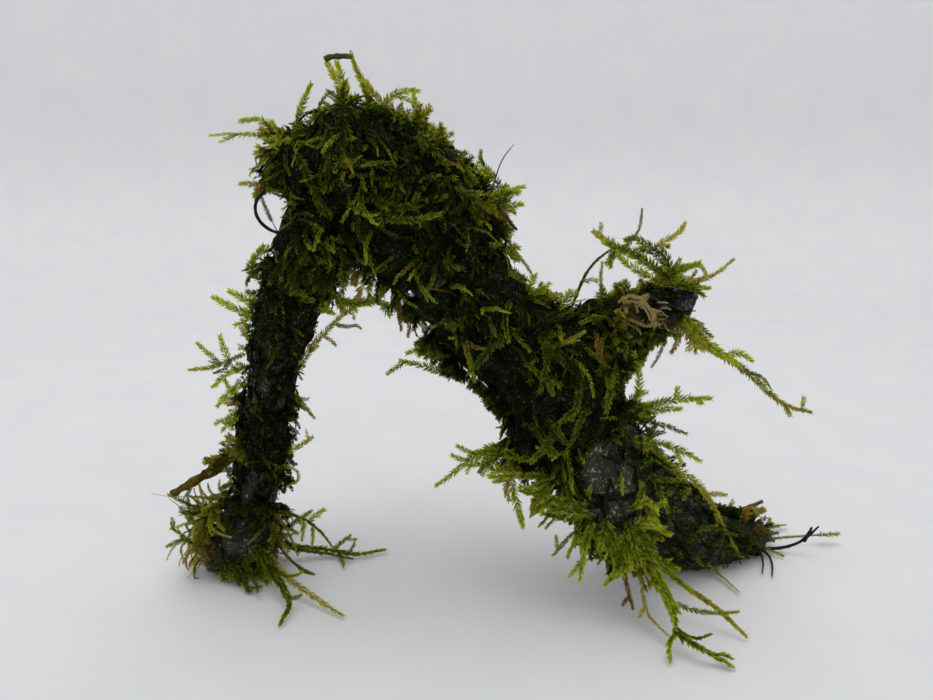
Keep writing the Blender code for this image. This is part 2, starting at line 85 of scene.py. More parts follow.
@dataclass(frozen=True)
class PhotoView:
    """Where the photograph was taken from: the eye, how far it looks down, and its focal length in pixels."""

    eye: Vector = field(default_factory=lambda: Vector((-12.6, -191.0, 112.0)))
    tilt: float = math.radians(14.0)
    focal: float = 732.0
    width: int = 933
    height: int = 700
    sensor: float = 36.0

    def direction(self, across: float, down: float) -> Vector:
        """The way from the eye through a pixel.

        Args:
            across: The pixel's place from the left.
            down: The pixel's place from the top.

        Returns:
            A vector in the part's axes, not of unit length.
        """
        right = (across - self.width / 2) / self.focal
        up = (self.height / 2 - down) / self.focal
        level = math.cos(self.tilt) + up * math.sin(self.tilt)
        return Vector((right, level, up * math.cos(self.tilt) - math.sin(self.tilt)))

    def place(self, across: float, down: float, depth: float) -> Vector:
        """The point behind a pixel that lies at a depth, or just over the floor where that is nearer.

        Args:
            across: The pixel's place from the left.
            down: The pixel's place from the top.
            depth: How far back it lies.

        Returns:
            The place in the part's frame.
        """
        ray = self.direction(across, down)
        reach = (depth - self.eye.y) / ray.y
        if ray.z < 0.0:
            reach = min(reach, (LINE_CLEARANCE - self.eye.z) / ray.z)
        return self.eye + ray * reach - MIDDLE

    def pixels(self, places: np.ndarray) -> np.ndarray:
        """The pixels that places are seen at.

        Args:
            places: The places in the part's frame, one a row.

        Returns:
            Across and down for each place, one row each.
        """
        away = places + np.array(MIDDLE) - np.array(self.eye)
        forward = away[:, 1] * math.cos(self.tilt) - away[:, 2] * math.sin(self.tilt)
        up = away[:, 1] * math.sin(self.tilt) + away[:, 2] * math.cos(self.tilt)
        across = self.width / 2 + self.focal * away[:, 0] / forward
        down = self.height / 2 - self.focal * up / forward
        return np.stack((across, down), axis=1)

    def camera(self) -> bpy.types.Object:
        """Makes a camera that looks as the photograph does.

        Returns:
            The camera's object.
        """
        lens = bpy.data.cameras.new("photo view")
        lens.sensor_width = self.sensor
        lens.lens = self.focal * self.sensor / self.width
        lens.clip_start = 0.01
        camera = new_object("photo view", lens)
        camera.location = (self.eye - MIDDLE) * MM
        camera.rotation_euler = (math.pi / 2 - self.tilt, 0.0, 0.0)
        return camera


@dataclass(frozen=True)
class Outline:
    """The outline of the dense growth in the photograph, by its corners."""

    corners: tuple[tuple[float, float], ...]

    def field(self, view: PhotoView, margin: int) -> np.ndarray:
        """For each pixel, whether it lies within the outline and its margin.

        Args:
            view: The photograph's view.
            margin: How many pixels outside the outline still count.

        Returns:
            A row of truth values for each row of pixels.
        """
        across, down = np.meshgrid(np.arange(view.width), np.arange(view.height))
        within = np.zeros(across.shape, dtype=bool)
        for (x0, y0), (x1, y1) in zip(self.corners, (*self.corners[1:], self.corners[0])):
            if y0 != y1:
                meets = (y0 > down) != (y1 > down)
                within ^= meets & (across < (x1 - x0) * (down - y0) / (y1 - y0) + x0)
        for _ in range(margin):
            wide = np.pad(within, 1)
            within = within | wide[2:, 1:-1] | wide[:-2, 1:-1] | wide[1:-1, 2:] | wide[1:-1, :-2]
        return within


def shown(places: np.ndarray, view: PhotoView, within: np.ndarray) -> np.ndarray:
    """For each place, whether the photograph would show it within the outline."""
    seen = np.round(view.pixels(places)).astype(int)
    return within[np.clip(seen[:, 1], 0, view.height - 1), np.clip(seen[:, 0], 0, view.width - 1)]


def placed(route: Route, view: PhotoView | None) -> list[Vector]:
    """The places of a route's points: by the view where one is given, and else they are in millimetres."""
    return [view.place(*point) if view else Vector(point) - MIDDLE for point in route]


@dataclass(frozen=True)
class Clearing:
    """A spot of the photograph where little grows on the side that it shows, and whether bark shows there."""

    across: float
    down: float
    half_width: float
    half_height: float
    bark: bool = False

    def field(self, view: PhotoView) -> np.ndarray:
        """For each pixel, whether it lies in the clearing.

        Args:
            view: The photograph's view.

        Returns:
            A row of truth values for each row of pixels.
        """
        across, down = np.meshgrid(np.arange(view.width), np.arange(view.height))
        x = (across - self.across) / self.half_width
        y = (down - self.down) / self.half_height
        return x * x + y * y < 1.0


@dataclass(frozen=True)
class LeafForm:
    """The leaves of a shoot and the stem that carries them."""

    length: float = 1.25
    width: float = 0.42
    spacing: float = 0.42
    angle: float = 38.0
    lift: float = 0.22
    back_row: float = 0.9
    stem: float = 0.15
    bare_stem: float = 0.34


@dataclass(frozen=True)
class Shoot:
    """One listed shoot, placed by its route from root to tip.

    sprigs is how many side shoots it has, and bare the share of its stem without leaves. A lying one is drawn
    out onto the growth however deep its route runs. The other three are explained at the functions below.
    """

    route: Route
    shade: float = 0.72
    size: float = 1.0
    tone: Tone = GREEN
    sprigs: int = 0
    bare: float = 0.0
    by_photo: bool = True
    on_shoot: bool = False
    limp: bool = False
    lying: bool = False


def behind(*looks: object, **more: object) -> Shoot:
    """A shoot on the far side, with its route in millimetres."""
    return Shoot(*looks, by_photo=False, **more)


def offshoot(*looks: object, **more: object) -> Shoot:
    """A shoot that grows out of the nearest one before it."""
    return Shoot(*looks, on_shoot=True, **more)


def strand(*looks: object, **more: object) -> Shoot:
    """A limp shoot, whose leaves lie close along it."""
    return Shoot(*looks, limp=True, **more)


@dataclass(frozen=True)
class Fringe:
    """A row of small shoots that grow the same way, where the photograph shows a tuft or a ragged edge.

    heading is the way that they set out and spread how much it varies. droop, hug and curl are as in
    Surface.creep, and bare and limp as in Shoot.
    """

    route: Route
    number: int
    heading: tuple[float, float, float]
    length: tuple[float, float] = (3.0, 7.0)
    shade: tuple[float, float] = (0.55, 0.85)
    size: tuple[float, float] = (0.7, 1.0)
    spread: float = 0.35
    tones: tuple[Tone, ...] = (GREEN, GREEN, OLIVE)
    bare: float = 0.0
    droop: float = 0.02
    hug: float = 9.0
    curl: float = 0.0
    limp: bool = False


def smooth(route: np.ndarray, rounds: int = 2) -> np.ndarray:
    """Cuts a route's corners, and keeps its ends.

    Args:
        route: The points, one a row.
        rounds: How often each corner is cut.

    Returns:
        The points of the smoother route.
    """
    for _ in range(rounds):
        early = route[:-1] * 0.75 + route[1:] * 0.25
        late = route[:-1] * 0.25 + route[1:] * 0.75
        middle = np.stack((early, late), axis=1).reshape(-1, 3)
        route = np.concatenate((route[:1], middle, route[-1:]))
    return route


def rows(points: list[Vector]) -> np.ndarray:
    """The same points, one a row."""
    return np.array([tuple(point) for point in points])


def unit(vectors: np.ndarray) -> np.ndarray:
    """The same vectors, each of length one."""
    return vectors / np.maximum(np.linalg.norm(vectors, axis=-1, keepdims=True), 1e-9)


def points_at(at: np.ndarray, along: np.ndarray, route: np.ndarray) -> np.ndarray:
    """The points at some distances along a route, whose own points are as far along as given."""
    return np.stack([np.interp(at, along, route[:, axis]) for axis in range(3)], axis=1)


def new_object(name: str, data: bpy.types.ID) -> bpy.types.Object:
    """Puts a new object in the scene.

    Args:
        name: Its name.
        data: Its mesh, camera or light.

    Returns:
        The new object.
    """
    obj = bpy.data.objects.new(name, data)
    bpy.context.scene.collection.objects.link(obj)
    return obj


class ShootMesh:
    """Gathers the stems and leaves of many shoots, and makes them one mesh."""

    RING = 3
    STEM_STEP = 1.3
    SHORTEST = 1.5
    SHORTEST_LEAFY = 1.0
    FIRST_LEAF = 0.4

    def __init__(self, seed: int) -> None:
        """Starts with no shoots.

        Args:
            seed: What its own run of random draws starts from.
        """
        self.points: list[np.ndarray] = []
        self.faces: list[np.ndarray] = []
        self.palette: list[np.ndarray] = []
        self.count = 0
        self.rng = np.random.default_rng(seed)

    def add(self, points: np.ndarray, faces: np.ndarray, palette: np.ndarray) -> None:
        """Adds a stem or a row of leaves.

        Args:
            points: Its points, one a row.
            faces: The three points of each triangle, counted from its own first.
            palette: Each point's shade and row in the palette.
        """
        self.points.append(points)
        self.faces.append(faces + self.count)
        self.palette.append(np.clip(palette, 0.01, 0.99))
        self.count += len(points)

    def triangles(self) -> int:
        """How many triangles have been added."""
        return sum(len(faces) for faces in self.faces)

    def grow(self, route: np.ndarray, up: Vector, form: LeafForm, shoot: Shoot) -> None:
        """Adds one shoot: its stem, two rows of leaves and the smaller ones that cover the stem.

        Args:
            route: Its points from root to tip.
            up: The way that its flat side faces.
            form: The leaves' and the stem's sizes.
            shoot: Its shade, tone, size and bare share.
        """
        steps = np.linalg.norm(np.diff(route, axis=0), axis=1)
        along = np.concatenate(([0.0], np.cumsum(steps)))
        length = along[-1]
        if length < self.SHORTEST:
            return
        self._stem(route, along, form, shoot)
        start = self.FIRST_LEAF + shoot.bare * length
        leaf_run = length - start
        if leaf_run < self.SHORTEST_LEAFY:
            return
        twist = self.rng.normal(0.0, 0.35)
        cover = form.spacing / form.back_row * 2
        for side, spacing in ((-1, form.spacing), (1, form.spacing), (0, cover)):
            number = max(2, int(leaf_run / (spacing * shoot.size)))
            at = start + leaf_run * (np.arange(number) + self.rng.random(number) * 0.6) / number
            self._leaves(route, along, np.minimum(at, length), side, up, twist, form, shoot)

    def _stem(self, route: np.ndarray, along: np.ndarray, form: LeafForm, shoot: Shoot) -> None:
        """Adds a thin three-sided stem that narrows to its tip.

        Args:
            route: The shoot's points.
            along: How far along the shoot each of them is.
            form: The stem's sizes.
            shoot: The shoot's shade, tone, size and bare share.
        """
        length = along[-1]
        number = max(3, int(length / self.STEM_STEP) + 1)
        at = np.linspace(0.0, length, number)
        centre = points_at(at, along, route)
        forward = unit(np.gradient(centre, axis=0))
        side = unit(np.cross(forward, (0.31, 0.52, 0.79)))
        over = np.cross(forward, side)
        thick = np.where(at < shoot.bare * length, form.bare_stem, form.stem) * shoot.size
        radius = thick * (1.15 - 0.7 * at / length)
        turns = np.arange(self.RING) * 2 * math.pi / self.RING
        ring = (
            centre[:, None, :]
            + radius[:, None, None] * np.cos(turns)[None, :, None] * side[:, None, :]
            + radius[:, None, None] * np.sin(turns)[None, :, None] * over[:, None, :]
        )
        first = (np.arange(number - 1) * self.RING)[:, None] + np.arange(self.RING)[None, :]
        beside = first[:, :1] + (np.arange(self.RING)[None, :] + 1) % self.RING
        lower = np.stack((first, beside, beside + self.RING), axis=-1).reshape(-1, 3)
        upper = np.stack((first, beside + self.RING, first + self.RING), axis=-1).reshape(-1, 3)
        shade = shoot.shade - 0.22 + 0.1 * np.repeat(at / length, self.RING)
        row = shoot.tone.value + 0.05 * np.tile(np.cos(turns), number)
        self.add(ring.reshape(-1, 3), np.concatenate((lower, upper)), np.stack((shade, row), axis=1))

    def _leaves(
        self,
        route: np.ndarray,
        along: np.ndarray,
        at: np.ndarray,
        side: int,
        up: Vector,
        twist: float,
        form: LeafForm,
        shoot: Shoot,
    ) -> None:
        """Adds one row of pointed, folded leaves.

        Args:
            route: The shoot's points.
            along: How far along the shoot each of them is.
            at: How far along each leaf starts.
            side: -1 or 1 for the two flat rows, 0 for the leaves that cover the stem.
            up: The way that the shoot's flat side faces.
            twist: How much the shoot turns over its length, in radians.
            form: The leaves' sizes.
            shoot: The shoot's shade, tone and size.
        """
        rng = self.rng
        number = len(at)
        share = at / along[-1]
        base = points_at(at, along, route)
        forward = unit(points_at(at + 0.5, along, route) - points_at(at - 0.5, along, route))
        across = unit(np.cross(forward, np.array(up)))
        facing = np.cross(across, forward)
        turn = (twist * (share - 0.3))[:, None]
        across, facing = (
            across * np.cos(turn) + facing * np.sin(turn),
            facing * np.cos(turn) - across * np.sin(turn),
        )
        spread = np.radians(form.angle * (1.08 - 0.45 * share**3) + rng.normal(0.0, 7.0, number))[:, None]
        if side:
            rise = form.lift * rng.normal(0.6, 1.0, number)[:, None]
            axis = np.cos(spread) * forward + np.sin(spread) * side * across + rise * facing
        else:
            sway = rng.normal(0.0, 0.35, number)[:, None]
            face = np.sign(rng.random(number) - 0.35)[:, None]
            axis = np.cos(spread * 0.7) * forward + np.sin(spread * 0.7) * face * facing + sway * across
        axis = unit(axis)
        normal = unit(facing - axis * np.sum(facing * axis, axis=1, keepdims=True))
        width_way = np.cross(axis, normal)
        taper = np.clip(share / 0.08 + 0.55, 0.0, 1.0) * (1.0 - 0.38 * share**5)
        size = form.length * shoot.size * taper * rng.normal(1.0, 0.11, number)
        size = (size * (1.0 if side else 0.8))[:, None]
        half = (form.width * shoot.size * 0.5 * rng.normal(1.0, 0.12, number))[:, None]
        fold = half * 0.45
        curl = rng.normal(-0.05, 0.12, number)[:, None] * size
        middle = base + axis * size * 0.4 + normal * fold
        tip = base + axis * size + normal * curl
        points = np.stack((base, middle + width_way * half, tip, middle - width_way * half), axis=1)
        first = (np.arange(number) * 4)[:, None]
        faces = np.concatenate((first + (0, 1, 2), first + (0, 2, 3)))
        tint = shoot.shade + 0.16 * share**2 + rng.normal(0.0, 0.09, number)
        # Painted shade and highlight on each leaf: darker at its base by the stem, where shade falls among
        # the leaves, lighter at its tip as if lit from behind, and one edge a little darker than the other
        shade = tint[:, None] + np.array((-0.24, 0.0, 0.14, -0.06))[None, :]
        row = shoot.tone.value + np.array((0.0, 0.05, 0.01, -0.05))[None, :] + np.zeros((number, 1))
        self.add(points.reshape(-1, 3), faces, np.stack((shade.ravel(), row.ravel()), axis=1))

    def build(self, name: str) -> bpy.types.Object:
        """Makes the object.

        Args:
            name: The piece's name.

        Returns:
            The new object, with its palette map.
        """
        points = np.concatenate(self.points)
        points[:, 2] = np.maximum(points[:, 2], FLOOR_CLEARANCE)
        faces = np.concatenate(self.faces)
        palette = np.concatenate(self.palette)
        mesh = bpy.data.meshes.new(name)
        mesh.vertices.add(len(points))
        mesh.vertices.foreach_set("co", (points * MM).astype(np.float32).ravel())
        mesh.loops.add(faces.size)
        mesh.loops.foreach_set("vertex_index", faces.astype(np.int32).ravel())
        mesh.polygons.add(len(faces))
        mesh.polygons.foreach_set("loop_start", np.arange(0, faces.size, 3, dtype=np.int32))
        layer = mesh.uv_layers.new(name=PALETTE_MAP)
        layer.data.foreach_set("uv", palette[faces.ravel()].astype(np.float32).ravel())
        mesh.update(calc_edges=True)
        mesh.validate()
        return new_object(name, mesh)


def roughen(mesh: bpy.types.Mesh, rise: Callable[[Vector], float]) -> None:
    """Moves each point along its normal, and none below the floor.

    Args:
        mesh: The mesh that is changed.
        rise: How far a point at a place moves out, both in millimetres.
    """
    normals = [vertex.normal.copy() for vertex in mesh.vertices]
    for vertex, normal in zip(mesh.vertices, normals):
        vertex.co += normal * rise(vertex.co / MM) * MM
        vertex.co.z = max(vertex.co.z, 0.0)
    mesh.shade_smooth()


class Surface:
    """The surface that shoots root in and lie against, in millimetres."""

    STEP = 1.1
    WANDER = 0.06
    FREE = 4.0

    def __init__(self, objects: list[bpy.types.Object]) -> None:
        """Joins the objects' meshes in one tree for finding the nearest place.

        Args:
            objects: The objects, which stand at the origin.
        """
        points: list[Vector] = []
        faces: list[tuple[int, ...]] = []
        for obj in objects:
            first = len(points)
            points.extend(vertex.co / MM for vertex in obj.data.vertices)
            faces.extend(tuple(index + first for index in face.vertices) for face in obj.data.polygons)
        self.tree = BVHTree.FromPolygons(points, faces)

    def nearest(self, place: Vector) -> tuple[Vector, Vector, float]:
        """The nearest place, its outward normal, and how far it is."""
        where, normal, _, distance = self.tree.find_nearest(place)
        return where, normal, distance

    def creep(
        self,
        root: Vector,
        heading: Vector,
        length: float,
        droop: float,
        hug: float,
        rng: np.random.Generator,
        curl: float = 0.0,
    ) -> np.ndarray:
        """The route of a shoot that grows over the surface.

        Args:
            root: Where it starts.
            heading: The way that it sets out.
            length: How long it is.
            droop: How much its own weight bends it at each step.
            hug: How high over the surface it likes to lie. From FREE up it only keeps out of the surface.
            rng: The draws that make it wander.
            curl: How far it turns at each step, in radians.

        Returns:
            Its points, one a row.
        """
        place = root.copy()
        heading = heading.normalized()
        route = [place.copy()]
        wander = Vector(rng.normal(0.0, self.WANDER, 3))
        turn = Quaternion(Vector(rng.normal(0.0, 1.0, 3)).normalized(), curl)
        for _ in range(max(3, int(length / self.STEP))):
            near, normal, _ = self.nearest(place)
            height = (place - near).dot(normal)
            pull = 0.0
            if hug < self.FREE:
                pull = max(-0.25, min(0.3, (hug - height) * 0.16))
            elif height < 0.8:
                pull = 0.2
            heading = heading + normal * pull + wander + Vector(rng.normal(0.0, self.WANDER, 3))
            heading.z -= droop
            heading.rotate(turn)
            heading.normalize()
            place = place + heading * self.STEP
            if place.z < LINE_CLEARANCE:
                place.z = LINE_CLEARANCE
                heading.z = max(heading.z, 0.0)
            route.append(place.copy())
        return rows(route)


def evaluated(obj: bpy.types.Object) -> bpy.types.Object:
    """Gives an object the mesh that its modifiers make.

    Args:
        obj: The object.

    Returns:
        The same object, without its modifiers.
    """
    graph = bpy.context.evaluated_depsgraph_get()
    mesh = bpy.data.meshes.new_from_object(obj.evaluated_get(graph))
    obj.modifiers.clear()
    obj.data = mesh
    return obj


def remeshed(mesh: bpy.types.Mesh, name: str, voxel: float, smoothing: int) -> bpy.types.Object:
    """An object with a mesh's form and even, small faces.

    Args:
        mesh: The mesh, which is left as it is.
        name: The object's name.
        voxel: The size of its faces.
        smoothing: How often it is smoothed.

    Returns:
        The new object.
    """
    obj = new_object(name, mesh.copy())
    obj.data.materials.clear()
    cells = obj.modifiers.new("cells", "REMESH")
    cells.mode = "VOXEL"
    cells.voxel_size = voxel * MM
    soften = obj.modifiers.new("soften", "SMOOTH")
    soften.iterations = smoothing
    return evaluated(obj)


def largest_body(obj: bpy.types.Object, hole_sides: int = 64) -> None:
    """Leaves only the body with the most faces, and closes its small holes.

    Args:
        obj: The object whose mesh is changed.
        hole_sides: How many sides a hole has at most to be closed.
    """
    form = bmesh.new()
    form.from_mesh(obj.data)
    unseen = set(form.faces)
    best: set = set()
    while unseen:
        body = {unseen.pop()}
        front = list(body)
        while front:
            near = {other for edge in front.pop().edges for other in edge.link_faces} & unseen
            unseen -= near
            body |= near
            front.extend(near)
        if len(body) > len(best):
            best = body
    bmesh.ops.delete(form, geom=[face for face in form.faces if face not in best], context="FACES")
    bmesh.ops.holes_fill(form, edges=form.edges, sides=hole_sides)
    bmesh.ops.triangulate(form, faces=form.faces)
    bmesh.ops.recalc_face_normals(form, faces=form.faces)
    form.to_mesh(obj.data)
    form.free()


class Graph:
    """A node tree that is written down node by node."""

    def __init__(self, tree: bpy.types.NodeTree) -> None:
        """Takes the tree that the nodes go in."""
        self.tree = tree

    def node(self, kind: str, inputs: dict | None = None, **settings: object) -> bpy.types.Node:
        """Adds a node.

        Args:
            kind: The node's type.
            inputs: Values or sockets for its inputs, by name or number.
            settings: The node's own settings.

        Returns:
            The new node.
        """
        made = self.tree.nodes.new(kind)
        for key, value in settings.items():
            setattr(made, key, value)
        self.feed(made, inputs or {})
        return made

    def feed(self, node: bpy.types.Node, inputs: dict) -> None:
        """Sets or links a node's inputs.

        Args:
            node: The node.
            inputs: Values or sockets for its inputs, by name or number.
        """
        for key, value in inputs.items():
            if isinstance(value, bpy.types.NodeSocket):
                self.tree.links.new(value, node.inputs[key])
            else:
                node.inputs[key].default_value = value

    def ramp(self, factor: bpy.types.NodeSocket, stops: tuple) -> bpy.types.NodeSocket:
        """Adds a colour ramp.

        Args:
            factor: What picks the colour.
            stops: The ramp's stops, each a place and a colour.

        Returns:
            The colour's socket.
        """
        made = self.node("ShaderNodeValToRGB", {"Fac": factor})
        elements = made.color_ramp.elements
        while len(elements) < len(stops):
            elements.new(0.5)
        for element, (place, colour) in zip(elements, stops):
            element.position = place
            element.color = (*colour, 1.0)
        return made.outputs["Color"]

    def mix(self, factor: object, one: object, other: object, blend: str = "MIX") -> bpy.types.NodeSocket:
        """Adds a blend of two colours.

        Args:
            factor: How much of the other colour there is.
            one: The first colour.
            other: The other colour.
            blend: How they are blended.

        Returns:
            The colour's socket.
        """
        inputs = {0: factor, 6: one, 7: other}
        return self.node("ShaderNodeMix", inputs, data_type="RGBA", blend_type=blend).outputs[2]

    def math(self, operation: str, one: object, other: object) -> bpy.types.NodeSocket:
        """A sum, product or test of two numbers."""
        return self.node("ShaderNodeMath", {0: one, 1: other}, operation=operation).outputs[0]


def wet_grain_group() -> bpy.types.NodeTree:
    """The fine wet grain of bark, mats and twigs: a height and a mask of flecks, mostly painted glints.

    Returns:
        The node group, with the inputs Size and Stretch and the outputs Flecks and glints, Patches and
        Height.
    """
    tree = bpy.data.node_groups.new("wet grain", "ShaderNodeTree")
    tree.interface.new_socket("Size", in_out="INPUT", socket_type="NodeSocketFloat")
    tree.interface.new_socket("Stretch", in_out="INPUT", socket_type="NodeSocketVector")
    for output in ("Flecks and glints", "Patches", "Height"):
        tree.interface.new_socket(output, in_out="OUTPUT", socket_type="NodeSocketFloat")
    graph = Graph(tree)
    given = graph.node("NodeGroupInput")
    place = graph.node("ShaderNodeTexCoord").outputs["Object"]
    grain = graph.node("ShaderNodeVectorMath", {0: place, 1: given.outputs["Stretch"]}, operation="MULTIPLY")
    fine = graph.node(
        "ShaderNodeTexNoise", {"Vector": grain.outputs[0], "Scale": given.outputs["Size"], "Detail": 4.0}
    )
    cells = graph.node("ShaderNodeTexVoronoi", {"Vector": grain.outputs[0], "Scale": given.outputs["Size"]})
    broad_size = graph.math("MULTIPLY", given.outputs["Size"], 0.12)
    broad = graph.node("ShaderNodeTexNoise", {"Vector": place, "Scale": broad_size, "Detail": 3.0})
    # A mask of small flecks in clusters: painted glints where their colour is pale
    points = graph.node(
        "ShaderNodeMapRange", {"Value": fine.outputs["Fac"], "From Min": 0.575, "From Max": 0.635}, clamp=True
    )
    clusters = graph.node(
        "ShaderNodeMapRange",
        {"Value": broad.outputs["Fac"], "From Min": 0.40, "From Max": 0.60, "To Min": 0.15, "To Max": 1.0},
        clamp=True,
    )
    flecks_and_glints = graph.math("MULTIPLY", points.outputs[0], clusters.outputs[0])
    patches = graph.node(
        "ShaderNodeMapRange", {"Value": broad.outputs["Fac"], "From Min": 0.42, "From Max": 0.62}, clamp=True
    )
    height = graph.math("ADD", fine.outputs["Fac"], graph.math("MULTIPLY", cells.outputs["Distance"], 0.6))
    graph.node("NodeGroupOutput", {"Flecks and glints": flecks_and_glints, "Patches": patches.outputs[0], "Height": height})
    return tree


@dataclass(frozen=True)
class WetFinish:
    """A wet, grainy surface of three colours: its ground, its patches and its flecks, pale ones painted
    glints.

    size and stretch are the grain's, depth is the relief in millimetres, wetness the share of clear coat and
    shine the gloss under it.
    """

    name: str
    ground: tuple[float, float, float]
    patches: tuple[float, float, float]
    flecks_and_glints: tuple[float, float, float]
    size: float = 1100.0
    stretch: tuple[float, float, float] = (1.0, 1.0, 1.0)
    roughness: float = 0.4
    speck_roughness: float = 0.16
    depth: float = 0.35
    wetness: float = 0.1
    shine: float = 0.2

    def material(self, grain: bpy.types.NodeTree) -> bpy.types.Material:
        """Makes the material.

        Args:
            grain: The node group of the wet grain.

        Returns:
            The new material.
        """
        made = bpy.data.materials.new(self.name)
        made.use_nodes = True
        graph = Graph(made.node_tree)
        surface = made.node_tree.nodes["Principled BSDF"]
        effect = graph.node("ShaderNodeGroup", {"Size": self.size, "Stretch": self.stretch}, node_tree=grain)
        colour = graph.mix(effect.outputs["Patches"], (*self.ground, 1.0), (*self.patches, 1.0))
        # The flecks' colour over the rest: where it is pale, a painted glint
        colour = graph.mix(effect.outputs["Flecks and glints"], colour, (*self.flecks_and_glints, 1.0))
        rough = graph.node(
            "ShaderNodeMapRange",
            {"Value": effect.outputs["Flecks and glints"], "To Min": self.roughness, "To Max": self.speck_roughness},
        )
        relief = graph.node(
            "ShaderNodeBump",
            {"Height": effect.outputs["Height"], "Strength": 0.8, "Distance": self.depth * MM},
        )
        graph.feed(
            surface,
            {
                "Base Color": colour,
                "Roughness": rough.outputs[0],
                "Normal": relief.outputs["Normal"],
                "Coat Weight": self.wetness,
                "Coat Roughness": 0.12,
                "Specular IOR Level": self.shine,
            },
        )
        return made


@dataclass(frozen=True)
class LeafFinish:
    """Thin wet leaves that let light through, with one ramp of shades for each tone."""

    GLOW = (1.55, 1.5, 0.9, 1.0)

    name: str = "java moss leaves"
    # The bright ends of these ramps are partly painted light: the glow of the shoots at the outline, lit from
    # behind, which take the highest shades; shoots deep in the mass take the dark ends, for the shade there
    green: tuple = (
        (0.0, (0.0015, 0.003, 0.001)),
        (0.3, (0.011, 0.023, 0.002)),
        (0.56, (0.062, 0.095, 0.006)),
        (0.8, (0.25, 0.31, 0.016)),
        (1.0, (0.62, 0.66, 0.06)),
    )
    olive: tuple = ((0.0, (0.006, 0.006, 0.002)), (0.5, (0.075, 0.074, 0.008)), (1.0, (0.56, 0.50, 0.06)))
    amber: tuple = ((0.0, (0.008, 0.004, 0.001)), (0.5, (0.10, 0.055, 0.010)), (1.0, (0.42, 0.27, 0.06)))
    straw: tuple = ((0.0, (0.05, 0.035, 0.012)), (0.5, (0.34, 0.26, 0.10)), (1.0, (0.74, 0.62, 0.34)))
    through: float = 0.42
    roughness: float = 0.45
    shine: float = 0.07

    def material(self) -> bpy.types.Material:
        """Makes the material.

        Returns:
            The new material.
        """
        made = bpy.data.materials.new(self.name)
        made.use_nodes = True
        nodes = made.node_tree.nodes
        graph = Graph(made.node_tree)
        where = graph.node("ShaderNodeUVMap", uv_map=PALETTE_MAP)
        split = graph.node("ShaderNodeSeparateXYZ", {0: where.outputs["UV"]})
        shade, row = split.outputs["X"], split.outputs["Y"]
        colour = graph.ramp(shade, self.green)
        for edge, stops in ((0.25, self.olive), (0.5, self.amber), (0.75, self.straw)):
            colour = graph.mix(graph.math("GREATER_THAN", row, edge), colour, graph.ramp(shade, stops))
        surface = nodes["Principled BSDF"]
        looks = {"Base Color": colour, "Roughness": self.roughness, "Specular IOR Level": self.shine}
        graph.feed(surface, looks)
        glow = graph.mix(1.0, colour, self.GLOW, blend="MULTIPLY")
        thin = graph.node("ShaderNodeBsdfTranslucent", {"Color": glow})
        both = graph.node("ShaderNodeMixShader", {0: self.through, 1: surface.outputs[0], 2: thin.outputs[0]})
        graph.feed(nodes["Material Output"], {"Surface": both.outputs[0]})
        return made


# The third colour of each finish is its flecks: the pale ones are painted glints, the splinter's dark ones
# dark streaks along it
BARK = WetFinish(
    "wet bark", (0.008, 0.0078, 0.006), (0.026, 0.029, 0.012), (0.21, 0.215, 0.18), size=1900.0,
    stretch=(1.0, 1.0, 0.55), depth=0.5, wetness=0.06, shine=0.1,
)
WORN_BARK = WetFinish(
    "worn bark", (0.024, 0.024, 0.016), (0.056, 0.058, 0.032), (0.42, 0.42, 0.33), size=1500.0,
    stretch=(1.0, 1.0, 0.6), roughness=0.5, depth=0.6, wetness=0.08, shine=0.12,
)
# Near black: the dark old growth with painted shade, for the deep shade between the shoots where the mat
# shows
OLD_MOSS_IN_SHADE = WetFinish(
    "old moss in painted shade", (0.002, 0.003, 0.001), (0.007, 0.012, 0.002), (0.085, 0.105, 0.055), size=2300.0,
    stretch=(1.0, 1.0, 0.7), roughness=0.8, speck_roughness=0.35, depth=0.6, wetness=0.0, shine=0.04,
)
BLACK_ROOTLET = WetFinish(
    "black rootlet", (0.006, 0.005, 0.004), (0.012, 0.009, 0.007), (0.04, 0.036, 0.03), depth=0.08,
    wetness=0.0, shine=0.1,
)
BROWN_TWIG = WetFinish(
    "brown twig", (0.045, 0.036, 0.011), (0.10, 0.088, 0.026), (0.22, 0.18, 0.07), size=1500.0, depth=0.3,
    wetness=0.0, shine=0.1,
)
MOSSY_SPLINTER = WetFinish(
    "mossy splinter", (0.062, 0.026, 0.005), (0.12, 0.095, 0.012), (0.012, 0.005, 0.002), size=1400.0,
    stretch=(0.2, 1.0, 0.4), roughness=0.7, speck_roughness=0.7, depth=0.9, wetness=0.0, shine=0.05,
)
AMBER_STALK = WetFinish(
    "amber stalk", (0.12, 0.075, 0.012), (0.22, 0.17, 0.03), (0.42, 0.32, 0.12), size=1500.0, depth=0.3
)
REDDISH_TWIG = WetFinish(
    "reddish twig", (0.055, 0.018, 0.008), (0.10, 0.035, 0.014), (0.20, 0.09, 0.04), depth=0.08
)


